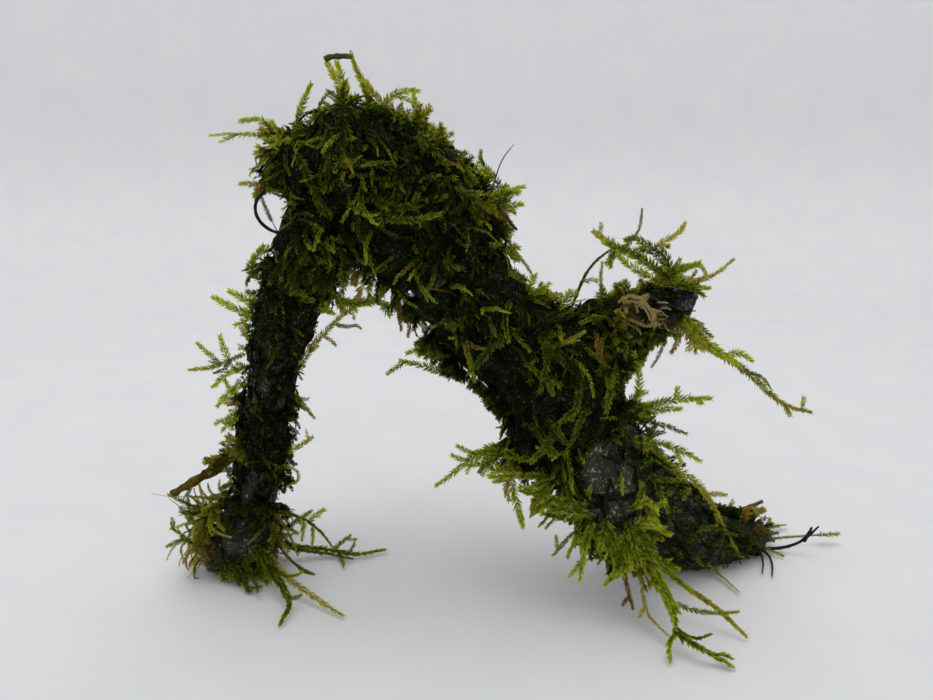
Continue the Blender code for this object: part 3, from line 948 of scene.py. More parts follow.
@dataclass
class WoodLimb:
    """One limb of the driftwood, with furrowed bark.

    grain is the way that its furrows run, furrow and lumps are heights, and rise is how far the bark stands
    out over the CAD node's surface at most.
    """

    node: str
    grain: tuple[float, float, float]
    cell: float = 0.85
    furrow: float = 0.55
    furrow_width: float = 1.7
    furrow_length: float = 8.0
    lumps: float = 0.45
    rise: float = 0.35
    finish: str = "wet bark"

    def build(self) -> bpy.types.Object:
        """Makes the limb's fine mesh: furrows along its grain and small lumps.

        Returns:
            The new object.
        """
        obj = remeshed(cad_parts[self.node].data, f"{self.node}_bark", self.cell, 2)
        roughen(obj.data, self._rise)
        return obj

    def _rise(self, place: Vector) -> float:
        """How far the bark stands out at a place.

        Args:
            place: A place on the limb.

        Returns:
            The height in millimetres, below zero in a furrow.
        """
        along = Vector(self.grain).normalized()
        run = along * place.dot(along)
        stretched = (place - run) / self.furrow_width + run / self.furrow_length
        ridge = 1.0 - 2.0 * abs(noise.noise(stretched))
        lump = self.lumps * (noise.noise(place / 2.9) + 0.6 * noise.noise(place / 1.2))
        return min(self.furrow * (ridge - 0.7) + lump, self.rise)

    def dress(self, obj: bpy.types.Object, bark: bpy.types.Material) -> None:
        """Gives the limb its bark and its place in the part.

        Args:
            obj: The limb's object.
            bark: Its finish.
        """
        obj.data.materials.append(bark)
        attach(obj, BODY)
        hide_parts(self.node)


@dataclass(frozen=True)
class Site:
    """What the shoots grow by.

    wood is the driftwood's surface, and ground that of all the mats and the driftwood, which shoots keep off.
    within says for each pixel whether the dense growth may be seen there, and front the same without the
    clearings, for the side that the photograph shows.
    """

    view: PhotoView
    wood: Surface
    ground: Surface
    within: np.ndarray
    front: np.ndarray


@dataclass
class MossLimb:
    """The moss of one limb: a dark mat of old growth and painted shade, and the shoots that grow out of it.

    The sown shoots take their number, length, flow, lift, shade, leaf, droop, hug and scatter from here. The
    mat reaches mat_reach over the wood at most and is sunk by sink. sleeve is how thick it is over the limb
    felt_on, above felt_above, where shoots grow too.
    """

    node: str
    seed: int
    number: int
    length: tuple[float, float]
    flow: tuple[float, float, float]
    lift: tuple[float, float] = (0.05, 0.5)
    shade: tuple[float, float] = (0.20, 0.70)
    leaf: LeafForm = LeafForm()
    droop: float = 0.03
    hug: tuple[float, float] = (0.5, 1.7)
    heroes: tuple[Shoot, ...] = ()
    fringes: tuple[Fringe, ...] = ()
    scatter: float = 0.75
    bare_patches: float = 0.10
    mat_reach: float = 99.0
    felt_on: str = ""
    felt_above: float = 0.0
    felt_share: float = 1.0
    sleeve: float = 0.0
    sink: float = 0.8
    finish: str = "old moss in painted shade"

    HERO_LEAF = LeafForm(length=1.85, width=0.44, spacing=0.40, angle=42.0)
    LIMP_LEAF = LeafForm(length=1.7, width=0.54, spacing=0.27, angle=23.0, lift=0.3, stem=0.40)
    SPIKE_THICKNESS = 2.9
    SPIKE_HEIGHT = 3.0
    MAT_CELL = 1.05
    MAT_FACES = 9000
    MAT_LUMPS = ((0.9, 2.2), (0.5, 0.9))
    # How deep a route may be sunk to be drawn out, the same for one that lies, and how far out it is drawn
    SUNK = 9.0
    SUNK_LYING = 99.0
    OVER = 0.6
    ROOT_GAP = 0.8
    ROOT_DEPTH = 0.6
    NEAR_FLOOR = 4.0
    SPRIG_LENGTH = (3.0, 6.5)
    SPRIG_SIZE = 0.75
    # The normal's part away from the viewer up to which a face counts as seen in the photograph
    FACING = 0.3
    # The share of the sown shoots that a clearing keeps out, and the share of those beside it that end at it
    KEPT_OUT = 0.9
    HELD_BACK = 0.85
    DARKEST = 0.08
    LIGHTEST = 0.85

    def _with_sleeve(self) -> bpy.types.Mesh:
        """Joins the CAD node's mesh with a film of growth over its limb, where it has one.

        Returns:
            The new mesh.
        """
        form = bmesh.new()
        form.from_mesh(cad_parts[self.node].data)
        if self.sleeve:
            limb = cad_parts[self.felt_on].data.copy()
            normals = [vertex.normal.copy() for vertex in limb.vertices]
            for vertex, normal in zip(limb.vertices, normals):
                over = self.sleeve * (1.0 + 2.2 * max(0.0, normal.x))
                vertex.co += normal * (over if vertex.co.z > self.felt_above * MM else -0.8) * MM
            form.from_mesh(limb)
        mesh = bpy.data.meshes.new(self.node)
        form.to_mesh(mesh)
        form.free()
        return mesh

    def build_mat(self, wood: Surface, view: PhotoView, within: np.ndarray) -> bpy.types.Object:
        """Makes the mat: the CAD node's own form without the shoots and lumps that stand out of it.

        Args:
            wood: The driftwood's surface.
            view: The photograph's view.
            within: For each pixel, whether the dense growth may be seen there.

        Returns:
            The mat's object.
        """
        obj = remeshed(self._with_sleeve(), f"{self.node}_mat", self.MAT_CELL, 1)
        own = Surface([obj])
        spikes = []
        inside = shown(np.array([vertex.co for vertex in obj.data.vertices]) / MM, view, within)
        for vertex in obj.data.vertices:
            place = vertex.co / MM
            inward = -vertex.normal
            hit = own.tree.ray_cast(place + inward * 0.05, inward)
            thin = hit[3] is not None and hit[3] < self.SPIKE_THICKNESS
            height = wood.nearest(place)[2]
            spike = thin and height > self.SPIKE_HEIGHT
            if spike or height > self.mat_reach or not inside[vertex.index]:
                spikes.append(vertex.index)
        form = bmesh.new()
        form.from_mesh(obj.data)
        form.verts.ensure_lookup_table()
        bmesh.ops.delete(form, geom=[form.verts[index] for index in spikes], context="VERTS")
        form.to_mesh(obj.data)
        form.free()
        largest_body(obj)
        soften = obj.modifiers.new("soften", "SMOOTH")
        soften.iterations = 3
        faces = len(obj.data.polygons)
        if faces > self.MAT_FACES:
            thin_out = obj.modifiers.new("thin out", "DECIMATE")
            thin_out.ratio = self.MAT_FACES / faces
        evaluated(obj)
        roughen(obj.data, self._lumps)
        return obj

    def _lumps(self, place: Vector) -> float:
        """How far the mat's lumps stand out at a place, in millimetres."""
        return sum(height * noise.noise(place / size) for height, size in self.MAT_LUMPS) - self.sink

    def roots(
        self, mat: bpy.types.Object, wood: Surface, rng: np.random.Generator
    ) -> list[tuple[Vector, Vector]]:
        """Picks the places on the mat's outside that shoots grow from.

        Args:
            mat: The limb's mat.
            wood: The driftwood's surface, which the mat's inside faces.
            rng: The random draws.

        Returns:
            A place and its normal for each shoot.
        """
        faces = []
        for face in mat.data.polygons:
            centre = face.center / MM
            near, _, distance = wood.nearest(centre)
            outside = (centre - near).dot(face.normal) > 0.35 * distance
            patch = noise.noise(centre / 7.0 + Vector((0.0, 0.0, self.seed)))
            if outside and centre.z > 0.8 and patch > -self.bare_patches:
                faces.append((centre, face.normal.copy(), face.area))
        if self.felt_on:
            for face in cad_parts[self.felt_on].data.polygons:
                centre = face.center / MM
                if centre.z > self.felt_above:
                    faces.append((centre, face.normal.copy(), face.area * self.felt_share))
        areas = np.array([face[2] for face in faces])
        picks = rng.choice(len(faces), self.number, p=areas / areas.sum())
        found = []
        for pick in picks:
            centre, normal, area = faces[pick]
            spread = math.sqrt(area) / MM * 0.5 + 0.35
            found.append((centre + Vector(rng.normal(0.0, spread, 3)).cross(normal), normal))
        return found

    def grow(self, mat: bpy.types.Object, site: Site) -> bpy.types.Object:
        """Makes all the limb's shoots, the listed ones first.

        Args:
            mat: The limb's mat.
            site: What they grow by.

        Returns:
            The shoots as one object.
        """
        made = ShootMesh(self.seed)
        carriers: list[np.ndarray] = []
        for shoot in self.heroes:
            self.plant(made, shoot, site, carriers)
        for fringe in self.fringes:
            self.edge(made, fringe, site)
        by_hand = made.triangles()
        for root, normal in self.roots(mat, site.wood, made.rng):
            self.sow(made, root, normal, site)
        log.info("%s: %d triangles placed by hand, %d in all", self.node, by_hand, made.triangles())
        return made.build(f"{self.node}_shoots")

    def plant(self, made: ShootMesh, shoot: Shoot, site: Site, carriers: list[np.ndarray]) -> None:
        """Adds a listed shoot, rooted in what carries it, and its sprigs.

        Args:
            made: The mesh that it is added to.
            shoot: The shoot.
            site: What it grows by.
            carriers: The routes of the shoots so far, which later ones may grow from.
        """
        rng = made.rng
        points = placed(shoot.route, site.view if shoot.by_photo else None)
        near, normal, distance = site.ground.nearest(points[0])
        if shoot.on_shoot:
            routes = np.concatenate(carriers)
            gaps = np.linalg.norm(routes - np.array(points[0]), axis=1)
            points[0] = Vector(routes[np.argmin(gaps)])
        elif distance > self.ROOT_GAP:
            points.insert(0, near - normal * self.ROOT_DEPTH)
        route = rows(points)
        route[:, 2] = np.maximum(route[:, 2], LINE_CLEARANCE)
        route = smooth(route)
        if shoot.by_photo:
            route = self._in_sight(route, site, self.SUNK_LYING if shoot.lying else self.SUNK)
        carriers.append(smooth(route))
        flat = np.mean(route[:, 2] < self.NEAR_FLOOR)
        up = Vector((0.0, -1.0 + 0.6 * flat, 0.25 + 1.2 * flat)) + Vector(rng.normal(0.0, 0.28, 3))
        form = self.LIMP_LEAF if shoot.limp else self.HERO_LEAF
        made.grow(route, up.normalized(), form, shoot)
        for _ in range(shoot.sprigs):
            at = int(len(route) * rng.uniform(0.25, 0.85))
            forward = Vector(route[min(at + 1, len(route) - 1)] - route[at - 1]).normalized()
            side = forward.cross(up).normalized() * rng.choice((-1.0, 1.0))
            heading = forward * 0.75 + side * 0.65 + Vector(rng.normal(0.0, 0.12, 3))
            length = rng.uniform(*self.SPRIG_LENGTH)
            branch = site.ground.creep(Vector(route[at]), heading, length, 0.01, Surface.FREE, rng)
            small = Shoot((), shoot.shade + 0.04, shoot.size * self.SPRIG_SIZE, shoot.tone)
            made.grow(branch, up.normalized(), self.HERO_LEAF, small)

    def _in_sight(self, route: np.ndarray, site: Site, sunk: float) -> np.ndarray:
        """Draws a route out of what it is sunk in, towards the viewer, so that it lies on top.

        Args:
            route: The shoot's points.
            site: What it grows by.
            sunk: How deep in the growth a point may be to be drawn out, in millimetres.

        Returns:
            The points of the shoot that is in sight.
        """
        eye = site.view.eye - MIDDLE
        rays = route - np.array(eye)
        away = np.linalg.norm(rays, axis=1)
        nearer = np.zeros(len(route))
        for number in range(len(route) // 5, len(route)):
            hit = site.ground.tree.ray_cast(eye, Vector(rays[number]).normalized(), away[number])
            if hit[3] is not None and away[number] - hit[3] < sunk:
                nearer[number] = away[number] - hit[3] + self.OVER
        for _ in range(4):
            between = 0.5 * (np.roll(nearer, 1) + np.roll(nearer, -1))
            nearer[1:-1] = np.maximum(nearer, 0.92 * between)[1:-1]
        return route - rays * (nearer / away)[:, None]

    def edge(self, made: ShootMesh, fringe: Fringe, site: Site) -> None:
        """Adds a fringe: each shoot roots in the growth nearest to its place on the fringe's route.

        Args:
            made: The mesh that it is added to.
            fringe: The fringe.
            site: What it grows by.
        """
        rng = made.rng
        line = smooth(rows(placed(fringe.route, site.view)))
        for _ in range(fringe.number):
            start = line[rng.integers(len(line))] + rng.normal(0.0, 0.8, 3)
            near, normal, _ = site.ground.nearest(Vector(start))
            root = near - normal * 0.4
            heading = Vector(fringe.heading) + Vector(rng.normal(0.0, fringe.spread, 3))
            length = rng.uniform(*fringe.length)
            route = site.ground.creep(root, heading, length, fringe.droop, fringe.hug, rng, fringe.curl)
            up = (Vector((0.0, -0.9, 0.3)) + Vector(rng.normal(0.0, 0.4, 3))).normalized()
            tone = fringe.tones[rng.integers(len(fringe.tones))]
            shade = rng.uniform(*fringe.shade)
            shoot = Shoot((), shade, rng.uniform(*fringe.size), tone, bare=fringe.bare)
            made.grow(route, up, self.LIMP_LEAF if fringe.limp else self.HERO_LEAF, shoot)

    def sow(self, made: ShootMesh, root: Vector, normal: Vector, site: Site) -> None:
        """Adds a shoot that grows where it may, and ends where it would cross the outline.

        Args:
            made: The mesh that it is added to.
            root: Where it starts.
            normal: The mat's normal there.
            site: What it grows by.
        """
        rng = made.rng
        facing = normal.y < self.FACING
        clear = shown(rows([root]), site.view, site.front)[0]
        if facing and not clear and rng.random() < self.KEPT_OUT:
            return
        way = Vector(self.flow) + Vector(rng.normal(0.0, self.scatter, 3))
        way -= normal * way.dot(normal)
        lift = rng.uniform(*self.lift)
        length = rng.uniform(*self.length)
        if normal.z < -0.25:
            length *= 0.6
        heading = way.normalized() * (1.0 - 0.45 * lift) + normal * lift
        hug = rng.uniform(*self.hug)
        route = site.ground.creep(root - normal * 0.5, heading, length, self.droop, hug, rng)
        held_back = facing and clear and rng.random() < self.HELD_BACK
        inside = shown(route, site.view, site.front if held_back else site.within)
        if not inside.all():
            route = route[: int(np.argmin(inside))]
        if len(route) < 3:
            return
        up = (normal + Vector(rng.normal(0.0, 0.45, 3))).normalized()
        draw = rng.random()
        tone = AMBER if draw > 0.98 else OLIVE if draw > 0.80 else GREEN
        size = rng.uniform(0.7, 1.05)
        patch = 0.34 * noise.noise(root / 6.0) + 0.16 * noise.noise(root / 2.5)
        low, high = self.shade
        if tone is not GREEN:
            patch -= 0.10
        # Leans to the dark end: partly the shoots' own tone, partly painted shade for the depth of the mass
        # they fill
        shade = low + (high - low) * rng.random() ** 1.5 + patch
        shade = min(self.LIGHTEST, max(self.DARKEST, shade))
        made.grow(route, up, self.leaf, Shoot((), shade, size, tone))

    def show_bark(self, mat: bpy.types.Object, view: PhotoView, worn: np.ndarray) -> None:
        """Gives the mat's faces its worn bark where the photograph shows bark through the moss.

        Args:
            mat: The limb's mat.
            view: The photograph's view.
            worn: For each pixel, whether bark may be seen there.
        """
        for face in mat.data.polygons:
            centre = face.center / MM
            wander = 1.6 * noise.noise_vector(centre / 2.4)
            if shown(rows([centre + wander]), view, worn)[0]:
                face.material_index = 1

    def dress(self, mat: bpy.types.Object, shoots: bpy.types.Object, finishes: dict) -> None:
        """Gives the mat and the shoots their finish and their place in the part.

        Args:
            mat: The limb's mat.
            shoots: The limb's shoots.
            finishes: The materials by name.
        """
        mat.data.materials.append(finishes[self.finish])
        mat.data.materials.append(finishes["worn bark"])
        shoots.data.materials.append(finishes["leaves"])
        for piece in (mat, shoots):
            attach(piece, BODY)
            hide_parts(self.node)


@dataclass
class Rootlet:
    """A bare rootlet or twig: a knobbly tapered stalk that replaces its plain solid.

    knobs is how much its radius varies, and shoots keep off a mossy one as they do off a mat.
    """

    node: str
    routes: tuple[Route, ...]
    radius: float
    tip: float
    finish: WetFinish
    slot: str
    knobs: float = 0.12
    sides: int = 10
    by_photo: bool = True
    mossy: bool = False

    def build(self, view: PhotoView) -> bpy.types.Object:
        """Makes the stalk, and its fork if it has one.

        Args:
            view: The photograph's view.

        Returns:
            The new object.
        """
        form = bmesh.new()
        for route in self.routes:
            points = placed(route, view if self.by_photo else None)
            self._stalk(form, smooth(rows(points), 3))
        bmesh.ops.recalc_face_normals(form, faces=form.faces)
        mesh = bpy.data.meshes.new(f"{self.node}_stalk")
        form.to_mesh(mesh)
        form.free()
        mesh.shade_smooth()
        return new_object(mesh.name, mesh)

    def _stalk(self, form: bmesh.types.BMesh, line: np.ndarray) -> None:
        """Adds one closed tube.

        Args:
            form: The mesh that it is added to.
            line: The points of its middle, one a row.
        """
        forward = unit(np.gradient(line, axis=0))
        side = unit(np.cross(forward, (0.2, 0.9, 0.35)))
        over = np.cross(forward, side)
        rings = []
        last = len(line) - 1
        for number, (centre, out, up) in enumerate(zip(line, side, over)):
            share = number / last
            radius = self.radius + (self.tip - self.radius) * share**1.5
            ring = []
            for corner in range(self.sides):
                turn = 2 * math.pi * corner / self.sides
                way = out * math.cos(turn) + up * math.sin(turn)
                swell = 1.0 + self.knobs * 2.2 * noise.noise(Vector(centre + way * 0.5) / 1.3)
                point = centre + way * radius * swell
                point[2] = max(point[2], FLOOR_CLEARANCE)
                ring.append(form.verts.new(point * MM))
            rings.append(ring)
        for lower, upper in zip(rings, rings[1:]):
            for corner in range(self.sides):
                after = (corner + 1) % self.sides
                form.faces.new((lower[corner], lower[after], upper[after], upper[corner]))
        form.faces.new(rings[0])
        form.faces.new(rings[-1])

    def dress(self, obj: bpy.types.Object, grain: bpy.types.NodeTree) -> None:
        """Gives the stalk its finish and its place in the part.

        Args:
            obj: The stalk's object.
            grain: The node group of the wet grain.
        """
        obj.data.materials.append(self.finish.material(grain))
        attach(obj, BODY)
        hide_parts(self.node)


@dataclass
class Studio:
    """A pale round sweep, and one large soft light above it, in metres and watts."""

    floor_radius: float = 0.46
    cove: float = 0.16
    wall: float = 0.95
    cove_steps: int = 12
    sides: int = 96
    shade: tuple[float, float, float] = (0.79, 0.80, 0.81)
    light_shade: tuple[float, float, float] = (0.825, 0.83, 0.835)
    light_place: tuple[float, float, float] = (-0.06, 0.05, 1.15)
    light_size: float = 0.9
    light_power: float = 5.4
    sky_colour: tuple[float, float, float, float] = (0.98, 0.99, 1.0, 1.0)
    sky_strength: float = 0.30

    def build(self) -> None:
        """Makes the floor with its wall, the light and the sky."""
        self._sweep()
        self._light()
        world = bpy.data.worlds.new("soft sky")
        world.use_nodes = True
        looks = {"Color": self.sky_colour, "Strength": self.sky_strength}
        Graph(world.node_tree).feed(world.node_tree.nodes["Background"], looks)
        bpy.context.scene.world = world
        bpy.context.scene.view_settings.view_transform = "Standard"

    def _sweep(self) -> None:
        """Makes the floor, which curves up into a wall all round."""
        outline = [(self.floor_radius * share, 0.0) for share in (0.0, 0.35, 0.7, 1.0)]
        for step in range(1, self.cove_steps + 1):
            turn = math.pi / 2 * step / self.cove_steps
            outline.append((self.floor_radius + self.cove * math.sin(turn), self.cove * (1 - math.cos(turn))))
        outline.append((self.floor_radius + self.cove, self.wall))
        form = bmesh.new()
        rings = []
        for radius, height in outline:
            ring = []
            for corner in range(self.sides):
                turn = 2 * math.pi * corner / self.sides
                ring.append(form.verts.new((radius * math.cos(turn), radius * math.sin(turn), height)))
            rings.append(ring)
        for inner, outer in zip(rings, rings[1:]):
            for corner in range(self.sides):
                after = (corner + 1) % self.sides
                form.faces.new((inner[corner], outer[corner], outer[after], inner[after]))
        bmesh.ops.remove_doubles(form, verts=form.verts, dist=1e-5)
        mesh = bpy.data.meshes.new("floor")
        form.to_mesh(mesh)
        form.free()
        mesh.shade_smooth()
        floor = new_object("floor", mesh)
        paint = bpy.data.materials.new("pale floor")
        paint.use_nodes = True
        graph = Graph(paint.node_tree)
        surface = paint.node_tree.nodes["Principled BSDF"]
        place = graph.node("ShaderNodeTexCoord").outputs["Object"]
        mottle = graph.node("ShaderNodeTexNoise", {"Vector": place, "Scale": 34.0, "Detail": 4.0})
        tint = graph.ramp(mottle.outputs["Fac"], ((0.3, self.shade), (0.7, self.light_shade)))
        graph.feed(surface, {"Base Color": tint, "Roughness": 0.6})
        mesh.materials.append(paint)

    def _light(self) -> None:
        """Makes the square light, which faces straight down."""
        lamp = bpy.data.lights.new("top light", "AREA")
        lamp.size = self.light_size
        lamp.energy = self.light_power
        new_object("top light", lamp).location = self.light_place


CROWN_SHOOTS = (
    Shoot(((296, 142, -6), (272, 137, -6), (240, 134, -5), (210, 136, -4)), 0.82, 0.95, sprigs=3),
    Shoot(((280, 135, -4), (264, 122, -4), (254, 119, -4)), 0.84, sprigs=1),
    Shoot(((284, 140, -3), (276, 128, -4), (272, 121, -4)), 0.82),
    Shoot(((297, 134, 2), (299, 114, 2), (311, 84, 2)), 0.84, 1.05),
    Shoot(((315, 119, 5), (324, 95, 6), (334, 92, 6)), 0.55, 0.55),
    Shoot(((348, 106, 2), (342, 88, 2), (333, 74, 2), (327, 60, 2)), 0.9, 1.15, OLIVE),
    Shoot(((350, 104, 0), (344, 84, 0), (337, 62, 0)), 0.9, 1.2),
    Shoot(((424, 122, -1), (404, 117, 0), (388, 109, 0), (375, 94, 0), (364, 82, 0), (356, 67, 0),
           (351, 52, 0)), 0.82, 0.85, OLIVE),
    Shoot(((366, 92, 0), (360, 80, 0), (353, 62, 0)), 0.88, 0.8),
    Shoot(((386, 100, 2), (399, 91, 2), (419, 91, 3)), 0.86, sprigs=1),
    Shoot(((414, 119, -2), (415, 105, -2), (414, 93, -2)), 0.84, 0.8),
    Shoot(((415, 122, -2), (424, 114, -2), (431, 109, -2)), 0.8),
    Shoot(((430, 140, -3), (437, 132, -3), (441, 124, -3)), 0.74),
    Shoot(((332, 105, -4), (345, 104, -5), (359, 99, -5)), 0.3, 0.6, AMBER, bare=1.0),
    Shoot(((502, 188, -4), (490, 172, -4), (480, 161, -4), (481, 151, -3)), 0.62, 0.8),
    Shoot(((493, 188, -2), (501, 160, 0), (514, 144, 1)), 0.25, 0.7, AMBER, bare=1.0),
    Shoot(((486, 200, -8), (505, 193, -9), (524, 187, -9)), 0.84, sprigs=1),
    Shoot(((490, 208, -6), (508, 206, -7), (523, 204, -7)), 0.82),
    Shoot(((488, 218, -5), (500, 218, -6), (512, 222, -6)), 0.78, 0.7, AMBER),
    Shoot(((505, 220, -3), (510, 246, -3), (524, 262, -4), (533, 276, -4)), 0.7, 0.55, OLIVE),
    Shoot(((262, 184, -4), (250, 184, -4), (240, 184, -4)), 0.82, 0.8, OLIVE),
    Shoot(((272, 160, -2), (262, 156, -2), (255, 153, -2)), 0.82),
    Shoot(((283, 240, -8), (275, 228, -9), (264, 205, -9), (256, 183, -8)), 0.78, 0.5, AMBER, bare=0.3),
    Shoot(((268, 172, -4), (260, 186, -6), (256, 200, -6)), 0.72, 1.0, OLIVE),
    Shoot(((372, 196, -18), (392, 210, -20), (422, 204, -20), (446, 196, -19)), 0.6, sprigs=2),
    Shoot(((330, 130, -10), (326, 160, -14), (330, 190, -16)), 0.58, sprigs=2),
    Shoot(((345, 120, -10), (350, 150, -15), (342, 178, -17)), 0.62, sprigs=1),
    Shoot(((372, 215, -19), (410, 222, -21), (440, 214, -20)), 0.66, 0.9),
    Shoot(((420, 130, -12), (440, 160, -14), (462, 190, -14)), 0.66, sprigs=2),
    Shoot(((400, 170, -17), (396, 200, -19), (380, 226, -19)), 0.55, sprigs=1),
    Shoot(((300, 160, -12), (312, 186, -14), (322, 214, -15)), 0.6, sprigs=2),
    Shoot(((450, 180, -14), (470, 200, -14), (480, 224, -13)), 0.66, sprigs=1),
    behind(((-50, 12, 112), (-54, 20, 114), (-58, 26, 112)), 0.7),
    behind(((-32, 16, 116), (-29, 24, 120), (-27, 31, 119)), 0.7, sprigs=1),
    behind(((-20, 14, 104), (-13, 21, 108), (-9, 27, 106)), 0.7),
)
LEG_SHOOTS = (
    Shoot(((269, 284, -4), (247, 272, -5), (256, 256, -5), (264, 245, -5)), 0.8, sprigs=2),
    Shoot(((257, 314, -2), (235, 309, -3), (213, 297, -3)), 0.9, 1.05),
    Shoot(((257, 308, 1), (243, 298, 1), (229, 291, 1)), 0.92, 1.1),
    Shoot(((254, 315, -2), (244, 321, -2), (235, 326, -2)), 0.88, 0.9),
    Shoot(((248, 338, -2), (243, 331, -2), (240, 324, -2)), 0.86, 0.75, OLIVE),
    Shoot(((247, 353, -3), (228, 361, -4), (213, 368, -5), (189, 370, -5)), 0.72, 0.75, OLIVE),
    offshoot(((220, 362, -4), (208, 353, -5), (197, 343, -5)), 0.82, 0.7),
    offshoot(((228, 359, -4), (223, 348, -5), (220, 336, -5)), 0.92, 0.9),
    offshoot(((234, 362, -4), (224, 370, -5), (214, 373, -5)), 0.35, 0.6),
    offshoot(((219, 365, -4), (213, 362, -5), (209, 362, -5)), 0.8, 0.6),
    Shoot(((246, 367, 0), (234, 370, 0), (222, 377, 0), (213, 387, 0)), 0.9, 0.95),
    offshoot(((223, 377, 0), (227, 383, 0), (229, 388, 0)), 0.82, 0.7),
    Shoot(((244, 383, -3), (231, 391, -3), (217, 406, -3)), 0.9),
    Shoot(((242, 406, -2), (235, 404, -2), (228, 405, -2)), 0.7, 0.8, AMBER),
    Shoot(((240, 413, -3), (231, 422, -4), (222, 431, -4)), 0.84, 0.95),
    offshoot(((230, 423, -4), (222, 420, -4), (215, 424, -4)), 0.9, 0.8),
    Shoot(((238, 439, 0), (229, 441, 0), (220, 443, 0)), 0.84, 0.75),
    Shoot(((232, 450, 0), (217, 456, 0), (204, 463, 0)), 0.78, 0.7, OLIVE),
    Shoot(((290, 392, -3), (304, 405, -3), (314, 418, -3)), 0.72, 0.65),
    Shoot(((292, 402, -2), (300, 399, -2), (308, 399, -2)), 0.76, 0.7),
    Shoot(((288, 452, -3), (301, 445, -3), (313, 437, -3)), 0.84, 0.8, OLIVE, sprigs=1),
    Shoot(((284, 466, -3), (297, 469, -4), (300, 480, -4), (288, 486, -4)), 0.78, 0.5, OLIVE),
    Shoot(((298, 370, -2), (312, 347, -3), (321, 336, -4), (333, 325, -4), (343, 314, -4), (361, 302, -3)),
          0.74, 0.9, OLIVE),
    offshoot(((334, 324, -4), (346, 327, -4), (357, 325, -4), (361, 329, -4)), 0.78, 0.55, AMBER),
    offshoot(((322, 336, -4), (330, 339, -3), (336, 346, -3)), 0.82, 0.5, AMBER),
    offshoot(((346, 312, -4), (353, 313, -4), (354, 319, -4)), 0.82, 0.6, OLIVE),
    Shoot(((334, 298, -4), (344, 302, -4), (361, 303, -4), (377, 301, -4), (388, 305, -4)),
          0.74, 1.2, sprigs=3),
    Shoot(((340, 301, -4), (352, 304, -4), (366, 302, -4), (380, 300, -4)), 0.8, 1.0, OLIVE, sprigs=2),
    Shoot(((332, 290, -4), (340, 298, -4), (343, 309, -4)), 0.6, 0.9),
    Shoot(((345, 266, -5), (347, 279, -5), (343, 290, -5), (339, 298, -5)), 0.62, 0.9, OLIVE),
    Shoot(((367, 277, -5), (360, 290, -5), (356, 301, -5)), 0.84, 0.95, OLIVE),
    Shoot(((368, 284, -4), (370, 294, -4), (368, 303, -4)), 0.74, 0.9),
    Shoot(((322, 300, -2), (326, 308, -2), (334, 314, -2)), 0.8, 0.9, sprigs=1),
    Shoot(((316, 304, -2), (322, 312, -2), (331, 312, -2)), 0.84, 0.9),
    Shoot(((306, 345, -1), (312, 350, -1), (318, 345, -1)), 0.76, 0.7, OLIVE),
    Shoot(((300, 300, -4), (318, 282, -5), (334, 262, -5)), 0.66, sprigs=2),
    Shoot(((286, 290, -6), (300, 268, -8), (312, 248, -9)), 0.6, sprigs=2),
    behind(((-66, 6, 66), (-67, 13, 68), (-69, 19, 66)), 0.7, 0.8),
    behind(((-70, 6, 40), (-70, 13, 38), (-68, 18, 34)), 0.7, 0.8),
    behind(((-67, 6, 52), (-73, 11, 55), (-78, 14, 54)), 0.7, 0.8),
)
